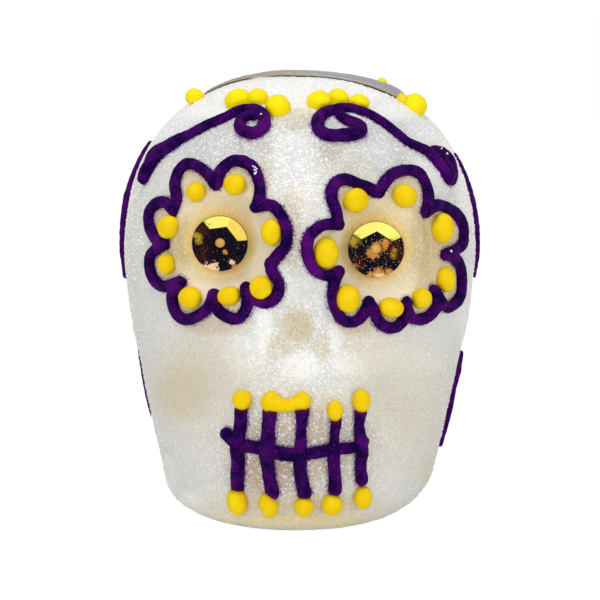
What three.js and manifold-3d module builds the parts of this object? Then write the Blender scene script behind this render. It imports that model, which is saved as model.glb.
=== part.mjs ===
// Sugar skull: a moulded skull of granulated sugar in two hollowed halves, joined with icing and piped with
// purple and yellow royal icing, with a faceted gold sequin in each eye socket and a strip of foil on the crown.
// Millimetres, +Z up, the face looks along -Y. Left and right are as seen from the front: left is -X.

import * as THREE from "three";
import { mergeVertices } from "three/addons/utils/BufferGeometryUtils.js";
import Module from "manifold-3d";

const wasm = await Module();
wasm.setup();

// The skull's own sizes

const skullWidth = 65.8;
const skullHeight = 78.4;
const faceDepth = 37;
const backDepth = 37;
const wallThickness = 10;
const jointThickness = 0.6;
const baseCornerRadius = 4.2;
const baseCornerLean = 1.4;

// How the outline tapers: the widest level and the widths at the base, as shares of height, width and depth

const widestHeightShare = 0.57;
const jawWidthShare = 0.746;
const jawLeanShare = 0.011;
const jawFrontShare = 0.98;
const jawBackShare = 0.86;
const taperExponent = 1.25;
const crownRiseExponent = 2.3;
const crownExponent = 2.45;
const planExponent = 2.2;

// Hollows and raised places of the face

const socketRadius = 10.5;
const socketDepth = 4.2;
const noseHeight = 8.6;
const noseHalfWidth = 4.5;
const noseDepth = 2.4;
const noseSpineRadius = 4;
const noseSpineRise = 1;
const cheekHollowRadius = 9;
const cheekHollowDepth = 2.2;
const cheekboneRadius = 9;
const cheekboneRise = 0.9;
const muzzleRadius = 15;
const muzzleRise = 1.4;
const browRadius = 8;
const browRise = 0.9;
const noseHeightShare = 0.458;
const noseSpineHeightShare = 0.4;
const cheekHollowPlaceShares = [0.59, 0.32];
const cheekbonePlaceShares = [0.84, 0.44];
const muzzleHeightShare = 0.2;
const browHeightShare = 0.7;
const reliefFadeShare = 0.5;

// The front drawing: a picture plane that touches the face, seen from one eye point in front of it. Each
// stroke and dot is drawn on that plane and carried along its sight line to the sugar.

const sightDistance = 384;
const sightTilt = THREE.MathUtils.degToRad(9);
const drawingHeightShare = 0.5354;

// Icing, sequins and foil

const clearance = 0.3;
const lineWidth = 2.1;
const lineHeight = 1.4;
const toothLineWidth = 2.2;
const sideLineWidth = 2;
const sideLineHeight = 0.8;
const dotHeight = 1.4;
const eyeDotRadius = 1.75;
const foreheadDotRadius = 1.9;
const toothDotRadius = 1.75;
const foilDotRadius = 1.9;
const sequinThickness = 0.25;
const dabThickness = 0.9;
const foilLength = 18;
const foilLead = 6.5;
const foilShift = 0.2;
const foilThickness = 0.2;
const smearWidth = 2.4;
const smearHeight = 0.8;

// Sizes that follow the skull's width, so that a narrower face carries smaller ornaments. On a face of another
// proportion of height to width the ornaments are drawn taller or lower.

const flowerRadiusShare = 0.1834;
const scrollLengthShare = 0.2736;
const mouthHalfWidthShare = 0.1834;
const foilWidthShare = 0.62;
const faceProportion = 1.192;
const drawingStretch = skullHeight / (faceProportion * skullWidth);
const flowerRadius = flowerRadiusShare * skullWidth;
const scrollLength = scrollLengthShare * skullWidth;
const mouthHalfWidth = mouthHalfWidthShare * skullWidth;
const foilWidth = foilWidthShare * skullWidth;

// Sizes of a sequin and its dab of icing, as shares of the flower's radius

const sequinRadiusShare = 0.406;
const sequinHoleShare = 0.066;
const sequinFlatShare = 0.265;
const sequinRiseShare = 0.062;
const dabRadiusShare = 0.2;
const dabTopShare = 0.85;
const sequinRadius = sequinRadiusShare * flowerRadius;
const sequinHoleRadius = sequinHoleShare * flowerRadius;
const sequinFlatRadius = sequinFlatShare * flowerRadius;
const sequinRise = sequinRiseShare * flowerRadius;
const dabRadius = dabRadiusShare * flowerRadius;
const leftSequinTurn = THREE.MathUtils.degToRad(8);
const rightSequinTurn = THREE.MathUtils.degToRad(27);

// How finely the curved forms are divided

const faceColumns = 40;
const faceRows = 31;
const backColumns = 18;
const backRows = 18;
const gatheringShare = 0.45;
const strokeStep = 2;
const sideLineStep = 4;
const foilColumns = 12;
const foilRows = 4;
const cornerRows = 4;
const dotSides = 10;
const hollowSides = 28;
const seamRows = 18;
const sequinCorners = 6;
const bisections = 26;
const sightSteps = 40;
const settlingSteps = 3;
const crossingSteps = 40;

// Points of one ring or surface that lie closer than this are one point
const mergeShare = 1e-6;

// Places on the front drawing, across and up, as shares of half the skull's width and of its height

const leftEyePlaceShares = [-0.419, 0.126];
const rightEyePlaceShares = [0.398, 0.113];
const leftScrollPlaceShares = [-0.241, 0.393];
const rightScrollPlaceShares = [0.189, 0.393];
const mouthPlaceShares = [0.005, -0.336];
const foreheadPlaceShares = [0, 0.437];
const foilPlaceShares = [0, 0.455];

// The petals of each eye flower around its socket, as shares of the flower's radius. A petal starts at the
// notch that ends the one before, and runs over two shoulders and a crown.

const leftPetalShares = [
  { notch: [-0.7, 0.47], over: [[-0.66, 0.9], [-0.46, 1.13], [-0.2, 1.0]] },
  { notch: [-0.06, 0.76], over: [[-0.01, 1.03], [0.26, 1.19], [0.5, 0.97]] },
  { notch: [0.49, 0.46], over: [[0.71, 0.52], [0.93, 0.22], [0.89, -0.1]] },
  { notch: [0.68, -0.3], over: [[0.81, -0.51], [0.73, -0.81], [0.49, -0.84]] },
  { notch: [0.36, -0.57], over: [[0.39, -0.89], [0.17, -1.06], [-0.04, -0.93]] },
  { notch: [-0.1, -0.65], over: [[-0.16, -0.96], [-0.46, -1.07], [-0.69, -0.84]] },
  { notch: [-0.51, -0.54], over: [[-0.86, -0.61], [-1.01, -0.33], [-0.96, -0.1]] },
  { notch: [-0.77, -0.03], over: [[-1.0, 0.1], [-1.04, 0.4], [-0.89, 0.56]] },
];
const rightPetalShares = [
  { notch: [-0.54, 0.36], over: [[-0.63, 0.7], [-0.51, 0.97], [-0.26, 0.91]] },
  { notch: [0.01, 0.73], over: [[0.14, 1.01], [0.46, 1.13], [0.71, 0.9]] },
  { notch: [0.73, 0.51], over: [[0.92, 0.6], [1.18, 0.44], [1.25, 0.13]] },
  { notch: [1.01, -0.1], over: [[1.2, -0.27], [1.21, -0.6], [1.03, -0.84]] },
  { notch: [0.81, -0.57], over: [[0.9, -0.81], [0.7, -0.99], [0.49, -0.93]] },
  { notch: [0.43, -0.74], over: [[0.41, -1.01], [0.19, -1.11], [-0.03, -0.97]] },
  { notch: [-0.11, -0.68], over: [[-0.2, -1.0], [-0.44, -1.01], [-0.61, -0.71]] },
  { notch: [-0.51, -0.3], over: [[-0.71, -0.39], [-0.97, -0.13], [-0.91, 0.21]] },
];

// The dots inside the petals: across and up from the socket's centre, and size, as shares of the flower's
// radius and of the dot radius

const leftEyeDotShares = [
  [-0.35, 0.73, 1.0], [0.21, 0.83, 1.05], [0.73, 0.16, 1.0], [0.58, -0.64, 1.0],
  [0.12, -0.75, 0.95], [-0.44, -0.76, 1.0], [-0.76, -0.29, 0.9], [-0.75, 0.21, 1.0],
];
const rightEyeDotShares = [
  [-0.27, 0.71, 1.05], [0.42, 0.75, 1.15], [0.96, 0.3, 1.2], [1.02, -0.42, 1.0],
  [0.67, -0.7, 0.95], [0.23, -0.83, 1.1], [-0.4, -0.72, 1.15], [-0.72, -0.06, 1.15],
];

// The brow scrolls from the middle of the curl, as shares of the scroll's length: the curl, the tail that
// leaves it, and a second short stroke laid beside the tail's end

const leftScrollShares = {
  curl: [[-0.11, 0.05], [-0.13, -0.01], [-0.09, -0.09], [0, -0.13], [0.09, -0.09], [0.12, 0], [0.08, 0.08]],
  tail: [[0.08, 0.08], [-0.02, 0.12], [-0.12, 0.115], [-0.28, 0.04], [-0.47, -0.045], [-0.64, -0.135],
    [-0.8, -0.25], [-0.9, -0.33], [-0.98, -0.42], [-1.05, -0.53]],
  second: [[-0.86, -0.19], [-0.99, -0.28], [-1.08, -0.39]],
};
const rightScrollShares = {
  curl: [[0.1, 0.06], [0.2, -0.02], [0.23, -0.09], [0.14, -0.16], [-0.03, -0.17], [-0.16, -0.11],
    [-0.2, -0.01], [-0.14, 0.08]],
  tail: [[-0.14, 0.08], [-0.04, 0.11], [0.09, 0.12], [0.23, 0.09], [0.4, 0.02], [0.56, -0.09], [0.67, -0.19],
    [0.81, -0.27], [0.95, -0.36], [1.07, -0.47], [1.11, -0.56]],
  second: [[0.89, -0.26], [1.0, -0.28], [1.1, -0.35], [1.16, -0.46], [1.15, -0.55]],
};

const foreheadDotShares = [
  [-0.6, 0.01, 1.0], [-0.41, 0.04, 0.85], [-0.21, -0.07, 1.1],
  [0.17, -0.01, 1.1], [0.37, 0.04, 0.85], [0.56, -0.01, 0.95],
];

// The mouth from its middle, as shares of half its width

const toothStrokeShares = [
  [[-0.86, 0.66], [-0.87, 0.17], [-0.9, -0.23], [-0.91, -0.62]],
  [[-0.44, 0.62], [-0.46, 0.17], [-0.47, -0.2], [-0.38, -0.64]],
  [[0.01, 0.64], [0.01, 0.17], [-0.01, -0.19], [0.06, -0.66]],
  [[0.5, 0.52], [0.47, 0.1], [0.47, -0.2], [0.49, -0.64]],
  [[0.86, 0.64], [0.84, 0.17], [0.85, -0.1], [0.89, -0.52]],
];
const mouthLineShares = [
  [-1.13, 0.32], [-1.01, 0.22], [-0.8, 0.09], [-0.44, 0.03], [0.01, -0.04], [0.46, 0.01], [0.81, 0.07],
  [0.94, 0.2],
];

// Each tooth's dot: across and up, half width and half height as shares of the dot radius, and lean in turns

const upperToothDotShares = [
  [-0.86, 0.77, 0.95, 0.95, 0],
  [-0.43, 0.75, 1.0, 0.95, 0],
  [0.03, 0.75, 1.0, 0.95, 0],
  [0.49, 0.62, 0.75, 1.0, 0],
  [0.86, 0.76, 0.9, 1.15, 0],
];
const toothBridgeShares = [[-0.43, 0.74], [-0.21, 0.69], [0.03, 0.74]];
const lowerToothDotShares = [
  [-0.91, -0.72, 1.05, 1.35, 0.06],
  [-0.47, -0.76, 1.0, 1.2, 0.05],
  [0.03, -0.81, 0.95, 1.0, 0],
  [0.44, -0.77, 1.1, 1.1, 0],
  [0.89, -0.65, 0.95, 1.15, 0],
];

// The lines along the joint between the halves: how far they lie before it, as a share of the face's depth,
// and heights as shares of the skull's height

const sideLineShares = {
  upper_left: { side: -1, lead: -0.07, heights: [0.85, 0.78, 0.7, 0.61, 0.52] },
  lower_left: { side: -1, lead: -0.04, heights: [0.36, 0.3, 0.24, 0.19] },
  upper_right: { side: 1, lead: 0.1, heights: [0.82, 0.76, 0.69, 0.61, 0.52] },
  lower_right: { side: 1, lead: 0.16, heights: [0.355, 0.29, 0.21, 0.12] },
};

// The dots that hold the foil, on the front drawing as shares of the foil's width from its middle, and size
const foilDotShares = {
  foil_dot_left: [-0.442, -0.033, 1.05],
  foil_dot_right: [0.489, -0.065, 1.4],
  foil_dot_back: [0.345, 0.042, 0.9],
};

// The icing smeared from the right dot along the foil's edge, on the front drawing as shares of its width
const foilSmearShares = [[0.484, -0.065], [0.428, -0.042], [0.354, -0.009], [0.307, 0.009]];

// A piped line's section: across as a share of its width, up as a share of its height
const lineSectionShares = [[-0.42, 0], [-0.5, 0.4], [-0.26, 0.93], [0.26, 0.93], [0.5, 0.4], [0.42, 0]];

// Where the rings of a line's round end stand, as shares of the end's length
const lineEndShares = [0.06, 0.45];

// How a tooth stroke climbs over the mouth line: how far from it, as a share of its width, and how high, as a
// share of its height
const climbReachShare = 1.5;
const climbHeightShare = 0.66;

// A piped dot's rings: out as a share of its radius, up as a share of its height
const dotRingShares = [[0.86, 0], [1, 0.3], [0.84, 0.7], [0.48, 0.94]];

// Materials

const sugar = new THREE.MeshStandardMaterial({ color: 0xf2f0ea, roughness: 0.9, metalness: 0 });
const whiteIcing = new THREE.MeshStandardMaterial({ color: 0xf6f3ec, roughness: 0.6, metalness: 0 });
const purpleIcing = new THREE.MeshStandardMaterial({ color: 0x32105f, roughness: 0.45, metalness: 0 });
const yellowIcing = new THREE.MeshStandardMaterial({ color: 0xf0d800, roughness: 0.4, metalness: 0 });
const goldFilm = new THREE.MeshStandardMaterial({ color: 0xc99a2e, roughness: 0.15, metalness: 1 });
const silverFoil = new THREE.MeshStandardMaterial({ color: 0xaeb0b2, roughness: 0.2, metalness: 1 });

// Outline of the skull

const clampShare = (value) => Math.min(1, Math.max(0, value));

function outlineShare(height, jawShare) {
  const level = height / skullHeight;
  if (level > widestHeightShare) {
    const above = clampShare((level - widestHeightShare) / (1 - widestHeightShare));
    return (1 - above ** crownRiseExponent) ** (1 / crownExponent);
  }
  const below = clampShare((widestHeightShare - level) / widestHeightShare);
  return 1 - (1 - jawShare) * below ** taperExponent;
}

// The base corner is fuller on the left and rounder on the right
function cornerInset(height, cosine) {
  const radius = baseCornerRadius + baseCornerLean * cosine;
  const drop = radius * clampShare(1 - height / radius);
  return radius - Math.sqrt(radius ** 2 - drop ** 2);
}

// A soft round bump: 1 at its middle and 0 from its edge outwards
function roundBump(across, up, radius, fullness = 1) {
  const apart = Math.hypot(across, up) / radius;
  return apart < 1 ? (1 - apart ** (2 * fullness)) ** 2 : 0;
}

// The nose is a hollow triangle that narrows upwards
function noseHollow(x, height) {
  const down = (noseHeightShare * skullHeight + noseHeight / 2 - height) / noseHeight;
  if (down <= 0 || down >= 1) return 0;
  const across = Math.abs(x) / (noseHalfWidth * (down + 1) / 2);
  return across < 1 ? (1 - across ** 2) ** 2 * Math.sin(Math.PI * down) * (down + 1) / 2 : 0;
}

// The middles of the eye sockets, found from the front drawing before the sockets are sunk
const socketCentres = [];

// How far the face stands out from, or sinks into, the plain outline beside its sockets
function faceRelief(x, height) {
  const side = Math.abs(x);
  const [hollowAcross, hollowUp] = cheekHollowPlaceShares;
  const [boneAcross, boneUp] = cheekbonePlaceShares;
  const halfWidth = skullWidth / 2;
  let out = 0;
  out -= noseDepth * noseHollow(x, height);
  out -= cheekHollowDepth
    * roundBump(side - hollowAcross * halfWidth, height - hollowUp * skullHeight, cheekHollowRadius);
  out += cheekboneRise * roundBump(side - boneAcross * halfWidth, height - boneUp * skullHeight, cheekboneRadius);
  out += muzzleRise * roundBump(x, height - muzzleHeightShare * skullHeight, muzzleRadius, 2);
  out += browRise * roundBump(x, height - browHeightShare * skullHeight, browRadius);
  out += noseSpineRise * roundBump(x, height - noseSpineHeightShare * skullHeight, noseSpineRadius);
  return out;
}

// Distance from the upright axis to the sugar at one height, in one direction of the plan. The jaw is a little
// wider on the left. The floor of an eye socket is flat and faces forward, and its wall runs out softly to the
// rim.
function planRadius(cosine, sine, height) {
  const inset = cornerInset(height, cosine);
  const wide = (skullWidth / 2) * outlineShare(height, jawWidthShare - jawLeanShare * cosine) - inset;
  const front = faceDepth * outlineShare(height, jawFrontShare);
  const back = backDepth * outlineShare(height, jawBackShare);
  const deep = (sine < 0 ? front : back) - inset;
  if (wide <= 0 || deep <= 0) return 0;
  const sum = (Math.abs(cosine) / wide) ** planExponent + (Math.abs(sine) / deep) ** planExponent;
  const plain = sum ** (-1 / planExponent);
  if (sine >= 0) return plain;
  const face = plain + faceRelief(plain * cosine, height) * clampShare(-sine / reliefFadeShare);
  return socketCentres.reduce((out, middle) => {
    const floor = (middle.y + jointThickness / 2) / sine;
    const across = (cosine * (floor + plain)) / 2 - middle.x;
    return out + (floor - out) * roundBump(across, height - middle.z, socketRadius, 2);
  }, face);
}

function isInside(point) {
  if (point.z < 0 || point.z > skullHeight) return false;
  const deep = Math.max(0, Math.abs(point.y) - jointThickness / 2) * Math.sign(point.y);
  const out = Math.hypot(point.x, deep);
  return out === 0 || out < planRadius(point.x / out, deep / out, point.z);
}

const centre = new THREE.Vector3(0, 0, skullHeight / 2);

function halve(isFar, near, far) {
  let low = near;
  let high = far;
  for (let i = 0; i < bisections; i += 1) {
    const middle = (low + high) / 2;
    if (isFar(middle)) high = middle;
    else low = middle;
  }
  return (low + high) / 2;
}

// Where a line from the skull's centre through a point leaves the sugar
function onSugar(point) {
  const direction = point.clone().sub(centre).normalize();
  const reach = skullWidth + skullHeight;
  const out = halve((far) => !isInside(centre.clone().addScaledVector(direction, far)), 0, reach);
  return centre.clone().addScaledVector(direction, out);
}

// Outward direction of the sugar, taken over a small patch round a point
function sugarNormal(point) {
  const patch = lineWidth / 2;
  const direction = point.clone().sub(centre).normalize();
  const guide = Math.abs(direction.z) > Math.SQRT1_2 ? new THREE.Vector3(0, 1, 0) : new THREE.Vector3(0, 0, 1);
  const first = guide.cross(direction).normalize();
  const second = direction.clone().cross(first);
  const step = (axis, share) => onSugar(point.clone().addScaledVector(axis, share * patch));
  const along = step(first, 1).sub(step(first, -1));
  const over = step(second, 1).sub(step(second, -1));
  return along.cross(over).normalize();
}

// Slides a point along a direction until it lies on the sugar
function slideToSugar(point, normal) {
  const reach = lineWidth + dotHeight;
  const out = halve((far) => !isInside(point.clone().addScaledVector(normal, far)), -reach, reach);
  return point.clone().addScaledVector(normal, out);
}

// The front drawing

const drawingMiddle = new THREE.Vector3(0, -faceDepth, drawingHeightShare * skullHeight);
const sightAxis = new THREE.Vector3(0, -Math.cos(sightTilt), Math.sin(sightTilt));
const drawingUp = new THREE.Vector3(0, Math.sin(sightTilt), Math.cos(sightTilt));
const eyePoint = drawingMiddle.clone().addScaledVector(sightAxis, sightDistance);

function drawingPoint(across, up) {
  return drawingMiddle.clone().addScaledVector(drawingUp, up).add(new THREE.Vector3(across, 0, 0));
}

function drawingPlace([acrossShare, upShare]) {
  return [(acrossShare * skullWidth) / 2, upShare * skullHeight];
}

// Follows the sight line through a point of the drawing to the sugar. Past the outline it takes the nearest
// point of the outline.
function metBySight(across, up) {
  const start = drawingPoint(across, up);
  const sight = start.clone().sub(eyePoint).normalize();
  const reach = faceDepth + backDepth;
  const share = (point) => point.distanceTo(centre) / onSugar(point).distanceTo(centre);
  let nearest = start;
  let nearestShare = share(start);
  for (let i = 0; i <= sightSteps; i += 1) {
    const near = start.clone().addScaledVector(sight, (reach * (i - 1)) / sightSteps);
    const point = start.clone().addScaledVector(sight, (reach * i) / sightSteps);
    if (isInside(point)) {
      const span = near.distanceTo(point);
      const at = halve((far) => isInside(near.clone().addScaledVector(sight, far)), 0, span);
      return near.clone().addScaledVector(sight, at);
    }
    const pointShare = share(point);
    if (pointShare < nearestShare) {
      nearest = point;
      nearestShare = pointShare;
    }
  }
  return onSugar(nearest);
}

// The place on the sugar over which something that stands out by rise is seen at a point of the drawing
function carried(across, up, rise) {
  const seen = metBySight(across, up);
  const sight = seen.clone().sub(eyePoint).normalize();
  let place = seen;
  for (let i = 0; i < settlingSteps; i += 1) {
    const astray = place.clone().addScaledVector(sugarNormal(place), rise).sub(seen);
    astray.addScaledVector(sight, -astray.dot(sight));
    place = onSugar(place.clone().sub(astray));
  }
  return place;
}

function carriedFrom(placeShares, size, points, rise = clearance + lineHeight / 2) {
  const [across, up] = drawingPlace(placeShares);
  return points.map(([x, y]) => carried(across + x * size, up + y * size * drawingStretch, rise));
}

// A socket's middle lies where the sight line through its drawing, past the plain face, reaches its floor
function socketCentre(placeShares) {
  const rim = metBySight(...drawingPlace(placeShares));
  return rim.addScaledVector(rim.clone().sub(eyePoint).normalize(), socketDepth);
}

const plainFaceCentres = [leftEyePlaceShares, rightEyePlaceShares].map(socketCentre);
socketCentres.push(...plainFaceCentres);

// Solids from rings of points

function toSolid(geometry) {
  const plain = new THREE.BufferGeometry().setAttribute("position", geometry.getAttribute("position"));
  plain.setIndex(geometry.index);
  const merged = mergeVertices(plain, mergeShare * skullHeight);
  const mesh = new wasm.Mesh({
    numProp: 3,
    vertProperties: new Float32Array(merged.getAttribute("position").array),
    triVerts: new Uint32Array(merged.index.array),
  });
  const solid = new wasm.Manifold(mesh);
  if (solid.volume() >= 0) return solid;
  for (let i = 0; i < mesh.triVerts.length; i += 3) {
    [mesh.triVerts[i + 1], mesh.triVerts[i + 2]] = [mesh.triVerts[i + 2], mesh.triVerts[i + 1]];
  }
  return new wasm.Manifold(mesh);
}

function toGeometry(solid) {
  const { numProp, vertProperties, triVerts, numVert } = solid.getMesh();
  const positions = new Float32Array(numVert * 3);
  for (let i = 0; i < numVert; i += 1) {
    positions.set(vertProperties.subarray(i * numProp, i * numProp + 3), i * 3);
  }
  const geometry = new THREE.BufferGeometry();
  geometry.setAttribute("position", new THREE.BufferAttribute(positions, 3));
  geometry.setIndex(new THREE.BufferAttribute(triVerts, 1));
  return geometry;
}

// Joins equal rings side by side. Ends are closed by fans round two middle points, or the last ring meets
// the first.
function ringSolid(rings, firstMiddle, lastMiddle) {
  const count = rings[0].length;
  const points = rings.flat();
  const triangles = [];
  const spans = firstMiddle ? rings.length - 1 : rings.length;
  for (let r = 0; r < spans; r += 1) {
    for (let k = 0; k < count; k += 1) {
      const a = r * count + k;
      const b = r * count + ((k + 1) % count);
      const c = (a + count) % points.length;
      const d = (b + count) % points.length;
      triangles.push(a, b, d, a, d, c);
    }
  }
  if (firstMiddle) {
    const first = points.push(firstMiddle) - 1;
    const last = points.push(lastMiddle) - 1;
    for (let k = 0; k < count; k += 1) {
      const next = (k + 1) % count;
      triangles.push(first, next, k);
      triangles.push(last, (rings.length - 1) * count + k, (rings.length - 1) * count + next);
    }
  }
  const geometry = new THREE.BufferGeometry().setFromPoints(points);
  geometry.setIndex(triangles);
  return toSolid(geometry);
}

// A cut can leave a crumb beside the piece: the piece is the largest body
function largestBody(solid) {
  const bodies = solid.decompose();
  return bodies.reduce((best, body) => (body.volume() > best.volume() ? body : best));
}

function cutClear(solid, ...cutters) {
  return largestBody(cutters.reduce((rest, cutter) => rest.subtract(cutter), solid));
}

// The two halves and the icing between them

function rowHeights(rows) {
  const corner = Array.from({ length: cornerRows }, (_, i) => baseCornerRadius * (i / cornerRows) ** 2);
  const crownAngle = Math.PI / 2;
  const rest = Array.from({ length: rows }, (_, i) => {
    const level = Math.sin((crownAngle * (i / rows) + crownAngle * (i / rows) ** 2) / 2);
    return baseCornerRadius + (skullHeight - baseCornerRadius) * level;
  });
  return [...corner, ...rest];
}

function skullHalf(front, columns, rows) {
  const way = front ? -1 : 1;
  const joint = (way * jointThickness) / 2;
  const rings = rowHeights(rows).map((height) => Array.from({ length: columns + 1 }, (_, i) => {
    const even = (Math.PI * i) / columns;
    const turn = even + (gatheringShare / 2) * Math.sin(2 * even);
    const out = planRadius(Math.cos(turn), way * Math.max(Math.sin(turn), mergeShare), height);
    const deep = i === 0 || i === columns ? 0 : out * Math.sin(turn);
    return new THREE.Vector3(out * Math.cos(turn), joint + way * deep, height);
  }));
  const foot = new THREE.Vector3(0, (way * faceDepth) / 2, 0);
  return ringSolid(rings, foot, new THREE.Vector3(0, joint, skullHeight));
}

// The scooped-out middle leaves a wall all round
function scoopedMiddle() {
  const sphere = new THREE.SphereGeometry(1, hollowSides, hollowSides / 2);
  const deep = Math.min(faceDepth, backDepth) - wallThickness;
  sphere.scale(skullWidth / 2 - wallThickness, deep, skullHeight / 2 - wallThickness);
  sphere.translate(centre.x, centre.y, centre.z);
  sphere.deleteAttribute("normal");
  sphere.deleteAttribute("uv");
  return toSolid(sphere);
}

function seamIcing() {
  const heights = rowHeights(seamRows);
  const side = (way) => heights.map((height) => [way * planRadius(way, 0, height), height]);
  const outline = [...side(1), [0, skullHeight], ...side(-1).reverse()];
  const ring = (depth) => outline.map(([x, z]) => new THREE.Vector3(x, depth, z));
  const middle = (depth) => new THREE.Vector3(0, depth, skullHeight / 2);
  const half = jointThickness / 2;
  return ringSolid([ring(-half), ring(half)], middle(-half), middle(half));
}

// A piped line over points of the sugar. Its ends are round, its underside follows the sugar.
function pipedLine(points, options = {}) {
  const { width = lineWidth, height = lineHeight, step = strokeStep, lift = () => 0, grow = 0 } = options;
  const curve = new THREE.CatmullRomCurve3(points, false, "centripetal");
  const length = curve.getLength();
  const endLength = width / 2;
  const steps = Math.max(2, Math.round((length - 2 * endLength) / step));
  const distances = [
    ...lineEndShares.map((share) => share * endLength),
    ...Array.from({ length: steps + 1 }, (_, i) => endLength + ((length - 2 * endLength) * i) / steps),
    ...lineEndShares.map((share) => length - share * endLength).reverse(),
  ];
  const spine = distances.map((far) => onSugar(curve.getPointAt(clampShare(far / length))));
  const rings = spine.map((place, i) => {
    const ahead = spine[Math.min(i + 1, spine.length - 1)];
    const behind = spine[Math.max(i - 1, 0)];
    const normal = sugarNormal(place);
    const across = ahead.clone().sub(behind).cross(normal).normalize();
    const fromEnd = Math.min(distances[i], length - distances[i], endLength) / endLength;
    const fullness = Math.sqrt(1 - (1 - fromEnd) ** 2);
    return lineSectionShares.map(([side, rise]) => {
      const out = side * fullness * (width + 2 * grow);
      const foot = slideToSugar(place.clone().addScaledVector(across, out), normal);
      const base = clearance + lift(place) - grow;
      return foot.addScaledVector(normal, base + rise * (height * fullness + 2 * grow));
    });
  });
  const middle = (ring) => ring.reduce((sum, point) => sum.add(point), new THREE.Vector3())
    .divideScalar(ring.length);
  return ringSolid(rings, middle(rings[0]), middle(rings.at(-1)));
}

// A piped dot on the sugar, round or longer one way
function pipedDot(place, { radius, high = 1, lean = 0, height = dotHeight, grow = 0 }) {
  const normal = sugarNormal(place);
  const right = new THREE.Vector3(1, 0, 0);
  right.addScaledVector(normal, -right.dot(normal)).normalize().applyAxisAngle(normal, -lean * 2 * Math.PI);
  const above = normal.clone().cross(right).negate();
  const point = (out, turn, rise) => {
    const foot = place.clone()
      .addScaledVector(right, out * (radius + grow) * Math.cos(turn))
      .addScaledVector(above, out * (radius * high + grow) * Math.sin(turn));
    return slideToSugar(foot, normal).addScaledVector(normal, clearance - grow + rise * (height + 2 * grow));
  };
  const turns = Array.from({ length: dotSides }, (_, i) => (2 * Math.PI * i) / dotSides);
  const rings = dotRingShares.map(([out, rise]) => turns.map((turn) => point(out, turn, rise)));
  return ringSolid(rings, point(0, 0, 0), point(0, 0, 1));
}

// An eye flower: its petals are short lines that meet in notches
function flower(placeShares, petals) {
  const strokes = petals.map(({ notch, over }, i) => {
    const next = petals[(i + 1) % petals.length].notch;
    return pipedLine(carriedFrom(placeShares, flowerRadius, [notch, ...over, next]));
  });
  return strokes.reduce((sum, stroke) => sum.add(stroke));
}

function scroll(placeShares, { curl, tail, second }) {
  const strokes = [curl, tail, second];
  return strokes
    .map((points) => pipedLine(carriedFrom(placeShares, scrollLength, points)))
    .reduce((sum, stroke) => sum.add(stroke));
}

// A cup sequin: a flat hexagon with a hole, and six flat facets that rise to a round rim
function sequin(seat, facing, turn) {
  const sides = 4 * sequinCorners;
  const flatReach = sequinFlatRadius * Math.cos(Math.PI / sequinCorners);
  const rimReach = sequinRadius - flatReach;
  const hexagonReach = (angle) => {
    const sector = (2 * Math.PI) / sequinCorners;
    return Math.cos((((angle % sector) + sector) % sector) - sector / 2);
  };
  const basis = new THREE.Matrix4().lookAt(facing, new THREE.Vector3(), new THREE.Vector3(0, 0, 1));
  basis.setPosition(seat);
  const point = (out, angle, rise) => new THREE.Vector3(
    out * Math.cos(angle + turn),
    out * Math.sin(angle + turn),
    rise,
  ).applyMatrix4(basis);
  const rise = (out, angle) => (sequinRise * Math.max(0, out * hexagonReach(angle) - flatReach)) / rimReach;
  const rings = Array.from({ length: sides }, (_, i) => {
    const angle = (2 * Math.PI * i) / sides;
    const outs = [sequinHoleRadius, flatReach / hexagonReach(angle), sequinRadius];
    const back = outs.map((out) => point(out, angle, rise(out, angle)));
    const face = outs.map((out) => point(out, angle, rise(out, angle) + sequinThickness));
    return [...back, ...face.reverse()];
  });
  return ringSolid(rings);
}

// The dab of icing under a sequin has a flat top for it
function sequinDab(place, facing) {
  const right = new THREE.Vector3(1, 0, 0).addScaledVector(facing, -facing.x).normalize();
  const above = facing.clone().cross(right).negate();
  const turns = Array.from({ length: 2 * dotSides }, (_, i) => (Math.PI * i) / dotSides);
  const around = (out, turn) => place.clone()
    .addScaledVector(right, out * dabRadius * Math.cos(turn))
    .addScaledVector(above, out * dabRadius * Math.sin(turn));
  const top = (out, turn) => around(out, turn).addScaledVector(facing, clearance + dabThickness);
  const foot = (out, turn) => slideToSugar(around(out, turn), facing).addScaledVector(facing, clearance);
  const rings = [turns.map((turn) => foot(1, turn)), turns.map((turn) => top(dabTopShare, turn))];
  return ringSolid(rings, foot(0, 0), top(0, 0));
}

// The foil strip lies over the crown, its long way from side to side
function foilPoint(acrossShare, alongShare, rise) {
  const x = foilShift + acrossShare * foilWidth;
  const y = foilLength / 2 - foilLead + alongShare * foilLength;
  const place = onSugar(new THREE.Vector3(x, y, skullHeight));
  return place.addScaledVector(sugarNormal(place), rise);
}

function foilStrip(grow = 0) {
  const share = (i, count) => i / count - 1 / 2;
  const rings = Array.from({ length: foilColumns + 1 }, (_, i) => {
    const across = share(i, foilColumns) * (1 + (2 * grow) / foilWidth);
    const line = (rise) => Array.from({ length: foilRows + 1 }, (__, k) => {
      const along = share(k, foilRows) * (1 + (2 * grow) / foilLength);
      return foilPoint(across, along, rise);
    });
    return [...line(clearance - grow), ...line(clearance + foilThickness + grow).reverse()];
  });
  return sheetSolid(rings);
}

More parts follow.
